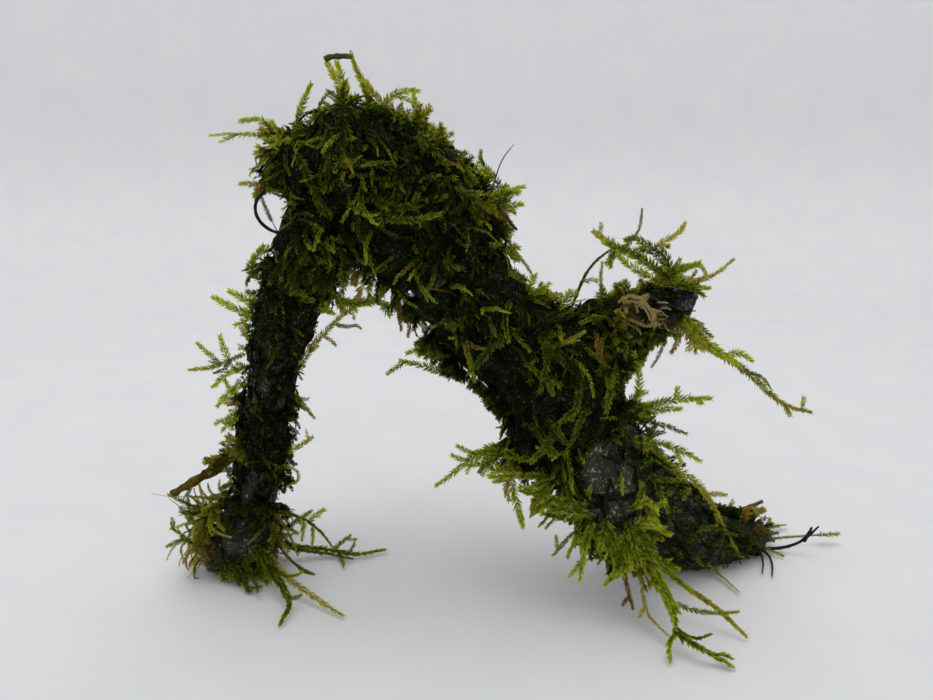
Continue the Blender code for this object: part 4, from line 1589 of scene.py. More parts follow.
LEFT_FOOT_SHOOTS = (
    strand(((270, 512, -6), (290, 513, -8), (309, 521, -9), (321, 531, -10), (333, 547, -12)), 0.66, 0.85),
    offshoot(((309, 521, -9), (317, 514, -9), (325, 509, -9)), 0.86, 0.85),
    offshoot(((302, 524, -8), (303, 533, -8), (302, 541, -8)), 0.8, 0.6),
    offshoot(((311, 527, -9), (313, 537, -9), (312, 546, -9)), 0.8, 0.6),
    strand(((268, 538, 2), (295, 547, 4), (333, 550, 6), (355, 556, 7), (385, 550, 9)), 0.66, 1.15, sprigs=1),
    strand(((266, 540, 1), (292, 550, 3), (330, 554, 5), (352, 559, 6)), 0.6, sprigs=1),
    offshoot(((333, 550, 6), (343, 541, 7), (351, 535, 8)), 0.74, 0.7, sprigs=1),
    offshoot(((340, 552, 6), (342, 560, 5), (344, 566, 4)), 0.7, 0.7),
    strand(((256, 540, -5), (270, 565, -12), (286, 590, -20), (290, 606, -24), (280, 624, -28)), 0.64, 1.25),
    strand(((252, 538, -5), (266, 562, -12), (280, 585, -19), (288, 600, -23)), 0.58, 1.3, sprigs=1),
    Shoot(((262, 548, -4), (290, 581, -16), (315, 598, -21), (343, 616, -25)), 0.84, 0.95, OLIVE),
    Shoot(((278, 516, -7), (284, 524, -9), (292, 540, -11), (298, 556, -13)), 0.62, 0.42, OLIVE),
    strand(((276, 540, -6), (286, 556, -10), (300, 568, -14), (314, 574, -15)), 0.6, 0.6, OLIVE),
    Shoot(((274, 528, -6), (280, 540, -8), (290, 552, -11)), 0.66, 0.42, OLIVE),
    offshoot(((296, 566, -12), (302, 570, -14), (313, 574, -15)), 0.6, 0.8, limp=True),
    strand(((282, 576, -16), (294, 576, -17), (302, 572, -17)), 0.74, 0.9),
    offshoot(((290, 598, -22), (297, 598, -22), (302, 594, -22)), 0.7, 0.6),
    Shoot(((215, 520, -3), (190, 505, -5), (168, 494, -6)), 0.66, 0.7, OLIVE, sprigs=2),
    Shoot(((220, 545, -4), (195, 545, -6), (172, 528, -8)), 0.66, 0.8, sprigs=2),
    Shoot(((215, 550, -4), (190, 550, -6), (183, 563, -7)), 0.7, 0.6, OLIVE, sprigs=1),
    Shoot(((222, 540, -5), (208, 553, -7), (198, 568, -8)), 0.66, 0.5, AMBER, bare=0.4),
    Shoot(((212, 530, 0), (192, 520, 2), (180, 508, 3)), 0.62, 0.8, sprigs=2),
    Shoot(((216, 515, -4), (196, 514, -6), (180, 512, -7)), 0.56, 0.8, sprigs=2),
    Shoot(((212, 500, -6), (190, 496, -8), (168, 497, -9), (150, 493, -9)), 1.1, 0.4, AMBER, bare=1.0),
    Shoot(((206, 520, -8), (186, 511, -9), (168, 498, -9)), 0.14, 0.5, AMBER, bare=0.95),
    Shoot(((225, 560, -7), (232, 575, -10), (226, 580, -11)), 0.52, 0.9, sprigs=2),
    Shoot(((234, 560, -7), (240, 578, -12), (250, 592, -15)), 0.52, 0.9, sprigs=2),
    Shoot(((243, 560, -8), (255, 580, -15), (258, 592, -18)), 0.54, 0.9, sprigs=1),
    behind(((-80, 8, 6), (-84, 18, 5), (-86, 28, 1.4)), 0.62, sprigs=2),
    behind(((-72, 8, 5), (-66, 19, 4), (-64, 32, 1.4)), 0.62, sprigs=2),
    behind(((-76, 9, 8), (-77, 17, 12), (-80, 24, 11)), 0.66, sprigs=1),
)
TRUNK_SHOOTS = (
    Shoot(((450, 376, -8), (425, 366, -9), (400, 361, -10)), 0.74, sprigs=1),
    Shoot(((432, 352, -8), (416, 350, -9), (407, 353, -9)), 0.78, 0.9),
    Shoot(((398, 305, -8), (400, 318, -9), (401, 330, -9)), 0.74, 0.7, AMBER),
    Shoot(((410, 322, -8), (409, 330, -9), (408, 337, -9)), 0.7, 0.6, AMBER),
    Shoot(((520, 458, -12), (491, 450, -14), (474, 454, -14), (456, 471, -15), (436, 486, -16)),
          0.82, sprigs=3),
    Shoot(((509, 462, -12), (488, 463, -14), (470, 466, -15)), 0.78, sprigs=1),
    Shoot(((560, 478, -20), (520, 475, -21), (490, 477, -22)), 0.8, sprigs=2),
    Shoot(((508, 468, -14), (515, 498, -18), (523, 527, -19)), 0.86, 1.15),
    Shoot(((585, 506, -24), (545, 498, -24), (520, 486, -23)), 0.78, sprigs=2),
    Shoot(((590, 514, -24), (565, 512, -24), (532, 500, -23)), 0.76, sprigs=1),
    Shoot(((590, 512, -24), (565, 520, -24), (552, 514, -23)), 0.76),
    Shoot(((595, 519, -25), (575, 530, -26), (553, 555, -27)), 0.6, 0.7, bare=0.3),
    offshoot(((557, 551, -27), (557, 543, -27), (556, 536, -27)), 0.78, 0.6, OLIVE),
    Shoot(((592, 522, -25), (584, 548, -26), (580, 580, -28)), 0.82, sprigs=1),
    strand(((458, 293, -14), (463, 334, -18), (474, 380, -18)), 0.62, 1.0, OLIVE, lying=True),
    strand(((464, 338, -18), (474, 348, -18), (492, 350, -18)), 0.66, 0.8, OLIVE, lying=True),
    strand(((526, 362, -18), (540, 376, -18), (551, 392, -18)), 0.74, 0.9, OLIVE, lying=True),
    strand(((548, 350, -18), (566, 342, -18), (584, 332, -18)), 0.8, 0.9, OLIVE, lying=True),
    strand(((596, 338, -18), (602, 362, -18), (612, 374, -18)), 0.8, 1.0, AMBER, lying=True),
    strand(((544, 416, -18), (554, 428, -18), (566, 442, -18)), 0.56, 1.2, lying=True),
    strand(((586, 412, -18), (576, 432, -18), (566, 456, -18)), 0.6, 1.2, lying=True),
    strand(((528, 420, -18), (540, 440, -18), (556, 452, -18)), 0.62, 1.1, lying=True),
    strand(((510, 300, -14), (504, 320, -16), (508, 340, -18)), 0.6, 1.1, lying=True),
    strand(((560, 322, -14), (552, 336, -16), (544, 348, -18)), 0.78, lying=True),
    Shoot(((540, 470, -19), (540, 490, -21), (548, 508, -22)), 0.7, sprigs=1),
    Shoot(((638, 402, -14), (640, 376, -14), (634, 352, -14)), 0.9),
    Shoot(((630, 412, -14), (670, 399, -12), (710, 398, -10)), 0.8, 1.15, sprigs=2),
    Shoot(((640, 415, -12), (662, 409, -8), (681, 409, -7)), 0.84),
    Shoot(((636, 420, -14), (660, 424, -12), (686, 434, -10)), 0.6, 0.8),
    Shoot(((630, 438, -16), (660, 443, -15), (683, 451, -14), (700, 461, -13)), 0.82, 1.05, sprigs=1),
    Shoot(((632, 440, -12), (666, 463, -10), (694, 479, -7), (708, 495, -5), (722, 526, -3), (738, 553, 0)),
          0.84, 1.0, OLIVE, sprigs=2, lying=True),
    Shoot(((646, 452, -13), (672, 466, -11), (690, 490, -9)), 0.72, sprigs=2),
    Shoot(((650, 470, -14), (660, 490, -15), (668, 512, -16)), 0.66, sprigs=2),
    Shoot(((480, 280, -16), (470, 310, -19), (452, 330, -20)), 0.5, sprigs=2),
    Shoot(((500, 330, -18), (486, 356, -21), (470, 372, -21)), 0.5, sprigs=2),
    Shoot(((540, 330, -18), (548, 362, -22), (540, 392, -23)), 0.56, sprigs=2),
    Shoot(((575, 360, -18), (580, 392, -22), (572, 420, -24)), 0.58, sprigs=2),
    Shoot(((600, 350, -16), (612, 385, -20), (606, 412, -22)), 0.64, sprigs=2),
    Shoot(((560, 420, -22), (548, 446, -24), (530, 462, -24)), 0.6, sprigs=2),
    Shoot(((506, 272, -6), (518, 278, -7), (529, 281, -8)), 0.76, 0.7, OLIVE),
    Shoot(((530, 296, -8), (542, 290, -9), (550, 283, -9)), 0.82, 0.8),
    Shoot(((527, 293, -8), (531, 283, -9), (534, 275, -9)), 0.86, 1.15),
    behind(((2, 8, 72), (9, 16, 73), (14, 23, 69)), 0.66, sprigs=1),
    behind(((17, 6, 50), (24, 15, 48), (31, 22, 42)), 0.66, sprigs=2),
    behind(((-4, 8, 62), (-8, 16, 57), (-8, 21, 50)), 0.66, sprigs=1),
)
SIDE_BRANCH_SHOOTS = (
    strand(((574, 302, -8), (581, 284, -9), (588, 270, -9), (600, 257, -9), (614, 248, -9)), 0.5, 0.6, OLIVE),
    offshoot(((586, 284, -9), (592, 280, -9), (597, 281, -9)), 0.8, 0.8, OLIVE),
    offshoot(((584, 284, -9), (581, 282, -9), (578, 281, -9)), 0.76, 0.7, OLIVE),
    Shoot(((674, 287, -6), (668, 279, -7), (650, 266, -8), (634, 255, -8), (616, 247, -9), (604, 240, -9),
           (593, 231, -10)), 0.8, 1.15, OLIVE, sprigs=1),
    Shoot(((680, 288, -7), (660, 270, -9), (642, 258, -10), (624, 249, -11), (606, 243, -11)),
          0.66, 1.2, sprigs=2),
    Shoot(((672, 280, -7), (670, 266, -8), (663, 252, -9), (648, 245, -10), (634, 238, -10),
           (625, 240, -10)), 0.62, 1.15, sprigs=2),
    Shoot(((676, 280, -7), (666, 262, -8), (652, 252, -9), (640, 248, -10)), 0.66, 1.2, sprigs=2),
    Shoot(((656, 280, -8), (641, 273, -9), (627, 265, -10), (616, 253, -10)), 0.88, 1.1),
    offshoot(((625, 241, -9), (635, 236, -9), (640, 228, -9), (642, 209, -9)), 0.5, 0.5, OLIVE),
    offshoot(((652, 247, -8), (665, 240, -8), (678, 235, -8), (685, 223, -8)), 0.88, 0.85, OLIVE),
    offshoot(((655, 245, -8), (664, 246, -8), (669, 246, -8)), 0.74, 0.8),
    Shoot(((670, 270, -7), (685, 268, -8), (698, 264, -8), (704, 270, -8), (706, 277, -8)), 0.74, 0.8, OLIVE),
    Shoot(((668, 276, -7), (684, 270, -8), (700, 262, -8)), 0.78, 0.8),
    offshoot(((600, 234, -10), (601, 229, -10), (601, 223, -10)), 0.8, 0.6),
    Shoot(((684, 288, -5), (692, 281, -6), (708, 278, -6), (721, 270, -7), (734, 259, -8)),
          0.74, 0.75, OLIVE),
    Shoot(((660, 274, -7), (682, 266, -8), (700, 264, -8)), 0.8, 0.8),
    Shoot(((676, 284, -6), (694, 288, -7), (710, 288, -7)), 0.8, 0.85),
    Shoot(((604, 304, -8), (600, 283, -9), (602, 262, -9)), 0.74, 0.6),
    Shoot(((682, 322, -6), (694, 337, -8), (709, 349, -9), (725, 357, -9), (749, 373, -9), (775, 399, -8),
           (790, 408, -7), (811, 412, -6)), 0.68, 1.0, OLIVE, sprigs=1),
    strand(((684, 322, -8), (694, 336, -10), (708, 348, -10), (724, 358, -10)), 0.84, 1.3, OLIVE),
    Shoot(((688, 320, -9), (698, 334, -11), (713, 347, -11), (738, 364, -11)), 0.86, 1.1),
    Shoot(((682, 328, -9), (692, 341, -11), (704, 350, -11)), 0.8, 1.1, OLIVE, sprigs=1),
    offshoot(((726, 354, -9), (740, 352, -9), (752, 361, -9)), 0.88),
    offshoot(((745, 367, -9), (763, 377, -9), (771, 389, -9)), 0.62, 0.5, bare=0.2),
    offshoot(((800, 410, -6), (803, 404, -6), (804, 397, -6)), 0.82, 0.7),
    Shoot(((672, 325, -9), (664, 345, -10), (652, 367, -10)), 0.7, 0.6, AMBER, bare=0.3),
    Shoot(((680, 325, -8), (678, 342, -9), (671, 353, -9)), 0.78, 0.8, AMBER),
    Shoot(((620, 300, -13), (630, 295, -13), (642, 299, -13), (650, 309, -13), (655, 323, -13)),
          0.8, 0.4, STRAW, lying=True),
    Shoot(((624, 297, -13), (636, 296, -13), (647, 303, -13), (653, 314, -13), (651, 327, -13)),
          0.7, 0.36, STRAW, lying=True),
    Shoot(((627, 301, -13), (638, 302, -13), (646, 309, -13), (650, 320, -13)), 0.85, 0.3, STRAW, lying=True),
    Shoot(((631, 319, -13), (640, 324, -13), (649, 327, -13), (656, 323, -13)),
          0.66, 0.34, STRAW, lying=True),
    Shoot(((626, 303, -13), (628, 311, -13), (635, 318, -13), (645, 324, -13)),
          0.52, 0.34, AMBER, lying=True),
    Shoot(((560, 308, -8), (568, 298, -9), (576, 292, -9)), 0.8, sprigs=1),
    behind(((27, 0, 76), (29, 8, 80), (30, 16, 79)), 0.7, sprigs=1),
    behind(((36, 0, 76), (41, 7, 79), (47, 11, 78)), 0.7, sprigs=1),
)
FRONT_STUB_SHOOTS = (
    strand(((632, 528, -22), (650, 575, -30), (670, 600, -33), (675, 620, -36), (674, 636, -39)), 0.74, 1.4),
    strand(((636, 524, -22), (654, 566, -29), (668, 594, -32), (678, 612, -35)), 0.76, 1.35),
    strand(((628, 526, -23), (644, 566, -30), (664, 596, -34), (672, 616, -36)), 0.7, 1.2),
    offshoot(((674, 632, -38), (690, 643, -42), (712, 655, -44), (731, 666, -45)), 0.72, 1.15, limp=True),
    offshoot(((712, 655, -44), (722, 654, -44), (732, 659, -44)), 0.8, 0.9, limp=True),
    offshoot(((674, 634, -39), (668, 645, -42), (670, 660, -44)), 0.84, limp=True),
    offshoot(((676, 625, -38), (686, 636, -40), (698, 639, -40), (711, 634, -39)), 0.6, 0.65, limp=True),
    offshoot(((672, 602, -33), (690, 610, -33), (712, 613, -33), (739, 612, -32)), 0.74, 0.65),
    strand(((644, 530, -20), (652, 554, -24), (680, 584, -28), (713, 604, -30), (746, 636, -35)),
           0.82, 1.1, OLIVE),
    strand(((640, 534, -20), (660, 565, -26), (690, 590, -29)), 0.74),
    Shoot(((625, 535, -23), (641, 579, -30), (645, 611, -31), (656, 625, -34), (670, 637, -38)),
          0.84, 0.75, OLIVE, sprigs=1),
    Shoot(((618, 540, -22), (623, 571, -24), (633, 609, -24)), 0.6, 0.7, AMBER, sprigs=2, bare=0.2),
    Shoot(((612, 540, -22), (618, 556, -24), (628, 560, -25)), 0.66, 0.8),
    Shoot(((634, 528, -24), (648, 518, -25), (661, 529, -25)), 0.84, sprigs=1),
    Shoot(((630, 510, -24), (645, 500, -25), (658, 508, -25)), 0.78, 0.9, sprigs=1),
    Shoot(((606, 520, -25), (604, 534, -26), (600, 550, -27)), 0.7, 0.9, sprigs=1),
    Shoot(((628, 520, -25), (634, 545, -28), (640, 566, -30)), 0.66, sprigs=2),
    Shoot(((640, 530, -24), (652, 548, -26), (660, 562, -28)), 0.66, sprigs=2),
)
RIGHT_FOOT_SHOOTS = (
    Shoot(((752, 541, 12), (790, 537, 12), (820, 535, 12)), 0.6, 0.5, OLIVE),
    offshoot(((814, 535, 12), (826, 535, 12), (839, 534, 12)), 0.74, 1.0, OLIVE),
    strand(((708, 519, 12), (738, 517, 13), (764, 510, 13)), 0.72, 1.5, OLIVE),
    Shoot(((712, 515, 13), (732, 509, 14), (750, 509, 14)), 0.7, 1.0, AMBER),
    Shoot(((726, 530, 12), (750, 532, 12), (768, 533, 12)), 0.34, 1.3, AMBER),
    Shoot(((745, 546, 10), (760, 551, 7), (764, 564, 2), (762, 574, -1)), 0.62, 1.5, OLIVE, bare=1.0),
    Shoot(((752, 543, 10), (766, 551, 7), (773, 564, 1), (772, 577, -3)), 0.5, 1.6, OLIVE, bare=1.0),
    Shoot(((735, 524, 12), (748, 518, 12), (763, 508, 12)), 0.7, 1.0, AMBER, sprigs=1),
    Shoot(((722, 512, 13), (742, 512, 14), (758, 508, 14)), 0.76, 0.9, OLIVE, sprigs=1),
    Shoot(((738, 535, 11), (756, 532, 11), (770, 531, 11)), 0.5, 0.9, OLIVE, sprigs=1),
    Shoot(((740, 545, 11), (768, 549, 10), (783, 556, 8)), 0.7, 0.8, OLIVE),
    Shoot(((705, 562, 0), (720, 575, -6), (739, 592, -12)), 0.82, 0.8),
    Shoot(((726, 540, 9), (736, 552, 8), (745, 560, 6)), 0.52, 0.8, sprigs=1),
    Shoot(((716, 548, 6), (722, 558, 3), (724, 568, 0)), 0.48, 0.7),
    behind(((60, 14, 6), (62, 27, 4), (66, 45, 1.4)), 0.62, sprigs=2),
    behind(((52, 14, 7), (46, 25, 6), (42, 35, 1.4)), 0.62, sprigs=2),
    behind(((58, 13, 10), (56, 20, 15), (52, 27, 16)), 0.66, sprigs=1),
    behind(((70, 12, 4), (80, 18, 2), (89, 22, 1.4)), 0.66, sprigs=1),
)

# How many pixels outside the outline the small shoots and the mats may reach
SHOOT_MARGIN = 4
MAT_MARGIN = 1

# The corners of the dense growth's outline in the photograph, in pixels, clockwise from the left foot
GROWTH = Outline(
    (
        (232, 510), (236, 440), (237, 400), (249, 360), (251, 330), (255, 300), (256, 280), (262, 255),
        (275, 241), (284, 232), (285, 202), (276, 192), (262, 188), (254, 178), (254, 163), (262, 150),
        (257, 137), (262, 128), (280, 131), (295, 124), (304, 116), (318, 112), (333, 107), (350, 100),
        (370, 98), (382, 107), (396, 118), (418, 120), (432, 129), (447, 142), (468, 163), (486, 182),
        (493, 196), (499, 208), (504, 220), (505, 240), (508, 256), (506, 271), (521, 286), (538, 292),
        (555, 295), (575, 302), (605, 302), (635, 292), (652, 281), (672, 278), (695, 284), (696, 314),
        (680, 326), (656, 342), (646, 356), (630, 374), (622, 386), (620, 396), (640, 408), (650, 430),
        (656, 450), (675, 475), (695, 489), (710, 502), (730, 508), (766, 510), (764, 528), (774, 548),
        (748, 562), (722, 568), (695, 572), (672, 574), (678, 602), (666, 608), (650, 590), (640, 574),
        (622, 574), (606, 571), (593, 560), (580, 544), (570, 530), (560, 511), (540, 496), (515, 482),
        (500, 466), (500, 430), (499, 416), (488, 407), (475, 392), (463, 383), (450, 380), (436, 368),
        (424, 350), (413, 332), (402, 316), (391, 305), (378, 303), (369, 294), (364, 280), (352, 267),
        (343, 267), (337, 277), (338, 294), (334, 310), (318, 314), (315, 328), (306, 350), (300, 375),
        (298, 395), (297, 420), (295, 445), (291, 470), (292, 505), (304, 524), (300, 548), (284, 572),
        (262, 586), (250, 588), (234, 577), (214, 572), (204, 562), (188, 562), (174, 552), (167, 532),
        (166, 512), (178, 497), (205, 500), (222, 490),
    )
)

CLEARINGS = (
    Clearing(246, 520, 27, 40),
    Clearing(608, 484, 27, 42, bark=True),
    Clearing(486, 388, 20, 30),
    Clearing(562, 402, 32, 13),
    Clearing(500, 287, 12, 14),
    Clearing(671, 308, 24, 20),
    Clearing(642, 311, 16, 13),
    Clearing(398, 240, 18, 20),
    Clearing(336, 196, 12, 16),
    Clearing(316, 158, 16, 10),
)

CROWN_FRINGES = (
    Fringe(((262, 150, -5), (258, 138, -5), (264, 126, -5)), 9, (-0.7, -0.1, 0.6), (3.0, 6.0)),
    Fringe(((330, 108, 0), (345, 100, 0), (362, 97, 0)), 16, (-0.1, -0.1, 1.0), (4.0, 9.0)),
    Fringe(((398, 118, 0), (418, 118, -2), (432, 126, -3)), 12, (0.25, 0.0, 1.0), (3.0, 6.5)),
    Fringe(((440, 136, -3), (466, 160, -4), (488, 182, -5)), 16, (0.5, 0.0, 0.8), (2.0, 4.0)),
    Fringe(((450, 158, -8), (470, 180, -9), (484, 200, -10)),
           30, (0.3, -0.5, -0.6), (3.0, 6.0), (0.5, 0.82), (0.55, 0.85), tones=(OLIVE, GREEN),
           hug=1.0),
    Fringe(((490, 196, -6), (498, 210, -6)), 12, (1.0, -0.1, 0.25), (4.0, 8.0)),
    Fringe(((504, 215, -5), (507, 232, -5), (508, 256, -5)), 12, (1.0, 0.0, -0.5), (2.0, 4.0)),
    Fringe(((264, 185, -5), (262, 200, -5)), 6, (-0.8, 0.0, -0.5), (3.0, 5.0), tones=(AMBER, OLIVE)),
    Fringe(((348, 268, -6), (366, 284, -6), (385, 300, -6)), 16, (-0.1, 0.0, -1.0), (3.0, 6.0)),
)
LEG_FRINGES = (
    Fringe(((296, 396, 0), (297, 420, 0), (294, 446, 0), (290, 476, 0), (289, 505, 0)),
           90, (0.5, -0.3, -0.9), (2.5, 5.0), (0.1, 0.5), (0.4, 0.6), hug=1.0),
    Fringe(((256, 292, 0), (252, 326, 0), (247, 358, 0), (240, 392, 0), (236, 430, 0)),
           40, (-0.8, 0.0, 0.1), (2.5, 5.0), size=(0.5, 0.75)),
    Fringe(((238, 468, 1), (234, 490, 1), (226, 510, 1)),
           20, (-1.0, 0.0, -0.3), (4.0, 8.0), (0.35, 0.75), (0.5, 0.8), tones=(OLIVE, GREEN)),
    Fringe(((262, 262, -4), (280, 256, -8), (300, 262, -10), (322, 272, -10)),
           50, (-0.1, -0.2, -0.9), (4.0, 9.0), (0.15, 0.6), (0.6, 0.9), hug=1.5),
    Fringe(((240, 440, -3), (230, 446, -5), (214, 456, -6)),
           30, (-0.8, -0.3, 0.0), (2.0, 3.5), (0.45, 0.85), (0.45, 0.7), spread=0.3,
           tones=(GREEN, OLIVE), hug=0.6),
    Fringe(((240, 448, -7), (231, 455, -7), (220, 463, -7)),
           34, (-0.8, -0.45, -0.45), (2.5, 4.5), (0.3, 0.72), (0.4, 0.62), spread=0.3,
           tones=(OLIVE, GREEN), hug=0.5),
    Fringe(((226, 506, -7), (246, 511, -9), (270, 508, -7)),
           50, (0.0, -0.3, -1.0), (3.0, 6.0), (0.1, 0.5), (0.5, 0.8), hug=0.6),
)
LEFT_FOOT_FRINGES = (
    Fringe(((212, 502, -4), (206, 518, -4)),
           22, (-1.0, -0.1, -0.05), (11.0, 15.0), (0.4, 0.95), (0.32, 0.6), spread=0.14,
           tones=(OLIVE, OLIVE, GREEN), bare=0.1, droop=0.015, curl=0.07),
    Fringe(((214, 494, 0), (208, 515, 0), (208, 540, -2)),
           60, (-1.0, -0.1, 0.05), (9.0, 16.0), (0.4, 0.95), (0.32, 0.55), spread=0.2,
           tones=(OLIVE, OLIVE, OLIVE, GREEN), bare=0.1, droop=0.01, curl=0.17),
    Fringe(((212, 500, -6), (206, 525, -6), (210, 548, -6)),
           50, (-0.9, -0.3, -0.15), (7.0, 14.0), (0.4, 0.9), (0.32, 0.55), spread=0.25,
           tones=(OLIVE, OLIVE, AMBER, GREEN), bare=0.1, droop=0.02, curl=0.13),
    Fringe(((222, 560, -8), (244, 568, -10), (262, 566, -10)),
           16, (0.0, -0.7, -0.7), (4.0, 9.0), (0.4, 0.7), (0.8, 1.1)),
    Fringe(((270, 520, -6), (276, 540, -7), (272, 556, -9)),
           14, (0.8, -0.5, -0.5), (5.0, 11.0), (0.45, 0.85), (0.4, 0.65), tones=(GREEN, OLIVE)),
)
TRUNK_FRINGES = (
    Fringe(((452, 366, -9), (472, 373, -10), (487, 388, -11), (499, 406, -12)),
           60, (-0.45, -0.4, -0.85), (2.5, 4.5), (0.1, 0.5), (0.6, 0.85), hug=0.6),
    Fringe(((446, 370, -6), (462, 378, -7), (477, 392, -8), (495, 410, -9)),
           90, (-0.5, -0.3, -0.9), (2.0, 4.0), (0.15, 0.65), (0.55, 0.8), hug=0.8),
    Fringe(((396, 308, -6), (412, 326, -7), (430, 344, -7)),
           60, (-0.5, -0.2, -0.8), (3.0, 6.0), (0.15, 0.7), (0.7, 1.0), hug=1.4),
    Fringe(((503, 444, -12), (507, 458, -13), (520, 470, -16)),
           14, (-1.0, -0.2, -0.15), (6.0, 12.0), (0.6, 0.92), (0.7, 1.0), spread=0.2),
    Fringe(((550, 480, -22), (566, 494, -22), (582, 512, -22)),
           16, (-0.8, -0.3, -0.6), (7.0, 14.0), (0.6, 0.9), (0.8, 1.1), spread=0.15, limp=True),
    Fringe(((628, 400, -14), (640, 420, -14), (650, 446, -14)),
           20, (1.0, -0.2, 0.2), (4.0, 9.0), (0.5, 0.85), (0.8, 1.0)),
    Fringe(((512, 278, -6), (534, 292, -8), (556, 298, -8)), 14, (0.1, 0.0, 1.0), (2.5, 5.0)),
)
SIDE_BRANCH_FRINGES = (
    Fringe(((630, 298, -13), (642, 294, -13), (652, 300, -13), (658, 312, -13)),
           26, (0.5, -0.5, -0.2), (2.0, 3.5), (0.4, 0.95), (0.18, 0.3), spread=0.4,
           tones=(STRAW,), hug=0.6, curl=0.3),
    Fringe(((638, 324, -13), (650, 326, -13), (658, 320, -13)),
           14, (0.6, -0.5, 0.0), (2.0, 3.5), (0.4, 0.95), (0.18, 0.3), spread=0.4,
           tones=(STRAW, STRAW, AMBER), hug=0.6, curl=0.3),
    Fringe(((632, 298, -13), (622, 304, -13), (616, 314, -13), (624, 320, -13)),
           34, (-0.3, -0.5, -0.5), (3.0, 6.0), (0.4, 0.9), (0.28, 0.45), spread=0.35,
           tones=(AMBER, STRAW, OLIVE), bare=0.2, hug=0.6, curl=0.12),
    Fringe(((604, 302, -8), (640, 290, -9), (672, 280, -8)), 22, (-0.3, -0.1, 0.9), (2.0, 4.0)),
    Fringe(((650, 266, -8), (672, 272, -8), (690, 284, -6)), 16, (0.4, -0.1, 0.6), (4.0, 8.0)),
    Fringe(((684, 316, -6), (694, 322, -6)), 12, (0.9, -0.2, -0.8), (5.0, 10.0), tones=(OLIVE, GREEN)),
    Fringe(((646, 350, -10), (660, 338, -10), (676, 328, -9)), 14, (0.0, -0.1, -1.0), (3.0, 6.0)),
)
# Light shades: partly the bundle's own paler green, partly painted light on the bundle that hangs out in
# front
FRONT_STUB_FRINGES = (
    Fringe(((608, 524, -24), (620, 532, -24), (634, 540, -24), (650, 540, -22)),
           30, (0.3, -0.25, -1.0), (7.0, 14.0), (0.55, 0.92), (0.8, 1.1), spread=0.13,
           tones=(GREEN,), limp=True),
    Fringe(((640, 480, -20), (650, 500, -20), (656, 524, -20)),
           16, (0.5, -0.3, -0.9), (5.0, 9.0), (0.65, 0.92), (0.8, 1.1), spread=0.2, limp=True),
)
RIGHT_FOOT_FRINGES = (
    Fringe(((656, 474, 0), (684, 490, 4), (706, 506, 8), (730, 520, 11), (760, 532, 12)),
           60, (0.6, -0.2, 0.1), (2.5, 6.0), (0.1, 0.45), (0.6, 0.9)),
    Fringe(((722, 512, 12), (740, 520, 12), (760, 532, 12)),
           16, (1.0, 0.0, 0.05), (3.0, 6.0), (0.4, 0.75), (0.8, 1.1), tones=(OLIVE, AMBER, GREEN)),
    Fringe(((690, 520, -2), (716, 536, 2), (744, 546, 8)),
           30, (0.7, -0.4, -0.4), (2.5, 5.0), (0.05, 0.35), (0.6, 0.9)),
)

WOOD_LIMBS = (
    WoodLimb("driftwood_trunk", (0.7, -0.2, -0.7)),
    WoodLimb("driftwood_left_leg", (0.2, 0.0, 1.0)),
    WoodLimb("driftwood_side_branch", (0.93, 0.05, 0.36)),
    WoodLimb("driftwood_front_stub", (0.1, -0.2, -1.0), finish="worn bark"),
    WoodLimb("driftwood_right_foot", (0.9, 0.3, -0.4), lumps=0.95, rise=0.8),
)
MOSS_LIMBS = (
    MossLimb(
        "moss_crown", 11, 1620, (4.0, 12.0), (0.1, -0.1, -0.8), (0.0, 0.42), (0.17, 0.82),
        LeafForm(length=1.12, width=0.40, angle=36.0), bare_patches=0.22,
        heroes=CROWN_SHOOTS, fringes=CROWN_FRINGES,
    ),
    MossLimb(
        "moss_trunk", 12, 1400, (4.0, 13.0), (0.55, -0.1, -0.7), (0.0, 0.38), (0.06, 0.78),
        LeafForm(length=1.2, width=0.40, angle=33.0), bare_patches=0.16,
        heroes=TRUNK_SHOOTS, fringes=TRUNK_FRINGES,
    ),
    MossLimb(
        "moss_left_leg", 13, 1000, (3.0, 7.0), (0.0, 0.0, -0.6), (0.0, 0.25), (0.16, 0.58),
        LeafForm(length=1.0, width=0.38), hug=(0.2, 0.7), bare_patches=0.3,
        heroes=LEG_SHOOTS, fringes=LEG_FRINGES,
        felt_on="driftwood_left_leg", felt_above=24.0, felt_share=0.3, sleeve=0.8,
    ),
    MossLimb(
        "moss_left_foot", 14, 110, (4.0, 11.0), (-0.2, -0.3, -0.6), (0.1, 0.8), (0.2, 0.65),
        hug=(0.6, 3.0), heroes=LEFT_FOOT_SHOOTS, fringes=LEFT_FOOT_FRINGES, mat_reach=2.6, sink=1.9,
        finish="wet bark",
    ),
    MossLimb(
        "moss_side_branch", 15, 560, (4.0, 10.0), (0.4, 0.0, -0.5), (0.05, 0.5), (0.25, 0.75),
        heroes=SIDE_BRANCH_SHOOTS, fringes=SIDE_BRANCH_FRINGES,
    ),
    # Lighter shades than the other limbs: partly the bundle's own paler green, partly painted light on the
    # bundle that hangs out in front
    MossLimb(
        "moss_front_stub", 16, 230, (6.0, 12.0), (0.25, -0.3, -1.0), (0.05, 0.3), (0.50, 0.95),
        LeafForm(length=1.45, width=0.48, spacing=0.32, angle=22.0, stem=0.28), hug=(0.6, 2.2),
        heroes=FRONT_STUB_SHOOTS, fringes=FRONT_STUB_FRINGES, scatter=0.25, finish="worn bark",
    ),
    MossLimb(
        "moss_right_foot", 17, 520, (3.0, 8.0), (0.8, 0.0, -0.3), (0.0, 0.3), (0.20, 0.58),
        heroes=RIGHT_FOOT_SHOOTS, fringes=RIGHT_FOOT_FRINGES,
        felt_on="driftwood_right_foot", felt_above=2.0, felt_share=0.45,
    ),
)
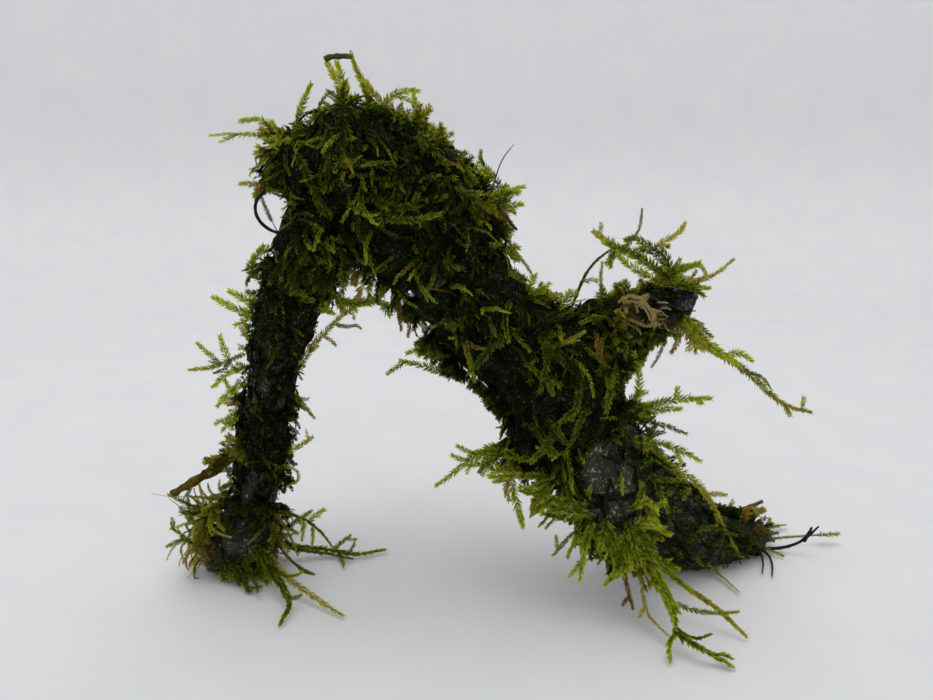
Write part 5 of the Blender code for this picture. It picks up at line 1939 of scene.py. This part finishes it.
ROOTLETS = (
    Rootlet(
        "black_rootlet_loop",
        (((296, 231, -9), (288, 233, -11), (276, 233, -12), (263, 226, -12), (254, 212, -12), (257, 198, -12),
          (266, 190, -12), (280, 190, -12), (292, 195, -10)),),
        0.42, 0.38, BLACK_ROOTLET, "rootlet",
    ),
    Rootlet(
        "black_rootlet_tip",
        (((730, 545, 8), (744, 546, 8), (760, 549, 8), (785, 548, 7), (805, 540, 6), (819, 526, 6)),
         ((803, 541, 6), (809, 534, 6), (812, 527, 6))),
        0.7, 0.2, BLACK_ROOTLET, "rootlet",
    ),
    Rootlet(
        "splinter_twig", (((249, 445, 2), (236, 454, -3), (221, 464, -5), (203, 477, -6), (172, 494, -7)),),
        1.85, 0.95, MOSSY_SPLINTER, "twig", knobs=0.24, mossy=True,
    ),
    Rootlet(
        "tip_twig", (((325, 60, 0), (330, 57, 0), (340, 56, 0), (352, 57, 0)),),
        0.75, 0.5, BROWN_TWIG, "twig", knobs=0.28,
    ),
    Rootlet(
        "amber_twig", (((62, 13, 10), (71, 15, 9.5), (78, 15, 13)),),
        0.8, 0.55, AMBER_STALK, "twig", knobs=0.2, by_photo=False,
    ),
    Rootlet(
        "reddish_twig", (((500, 205, -10), (508, 220, -11), (517, 230, -11)),),
        0.5, 0.3, REDDISH_TWIG, "twig", knobs=0.2,
    ),
)


def main() -> None:
    """Builds the driftwood, its moss and its rootlets, and the studio round them."""
    logging.basicConfig(level=logging.INFO, format="%(name)s: %(message)s")
    noise.seed_set(NOISE_SEED)
    view = PhotoView()
    bpy.context.scene.camera = view.camera()
    Studio().build()
    grain = wet_grain_group()
    finishes = {finish.name: finish.material(grain) for finish in (BARK, WORN_BARK, OLD_MOSS_IN_SHADE)}
    finishes["leaves"] = LeafFinish().material()
    within = GROWTH.field(view, SHOOT_MARGIN)
    mat_within = GROWTH.field(view, MAT_MARGIN)
    front = within & ~np.any([clearing.field(view) for clearing in CLEARINGS], axis=0)
    worn = np.any([clearing.field(view) for clearing in CLEARINGS if clearing.bark], axis=0)
    bare_wood = [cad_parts[limb.node] for limb in WOOD_LIMBS]
    wood = Surface(bare_wood)
    for limb in WOOD_LIMBS:
        piece = limb.build()
        limb.dress(piece, finishes[limb.finish])
        log.info("%s: %d faces", piece.name, len(piece.data.polygons))
    stalks = []
    for rootlet in ROOTLETS:
        piece = rootlet.build(view)
        rootlet.dress(piece, grain)
        log.info("%s: %d faces", piece.name, len(piece.data.polygons))
        if rootlet.mossy:
            stalks.append(piece)
    mats = {limb.node: limb.build_mat(wood, view, mat_within) for limb in MOSS_LIMBS}
    site = Site(view, wood, Surface([*mats.values(), *stalks, *bare_wood]), within, front)
    for limb in MOSS_LIMBS:
        mat = mats[limb.node]
        limb.dress(mat, limb.grow(mat, site), finishes)
        limb.show_bark(mat, view, worn)
        log.info("%s: %d faces", mat.name, len(mat.data.polygons))


if __name__ == "__main__":
    main()
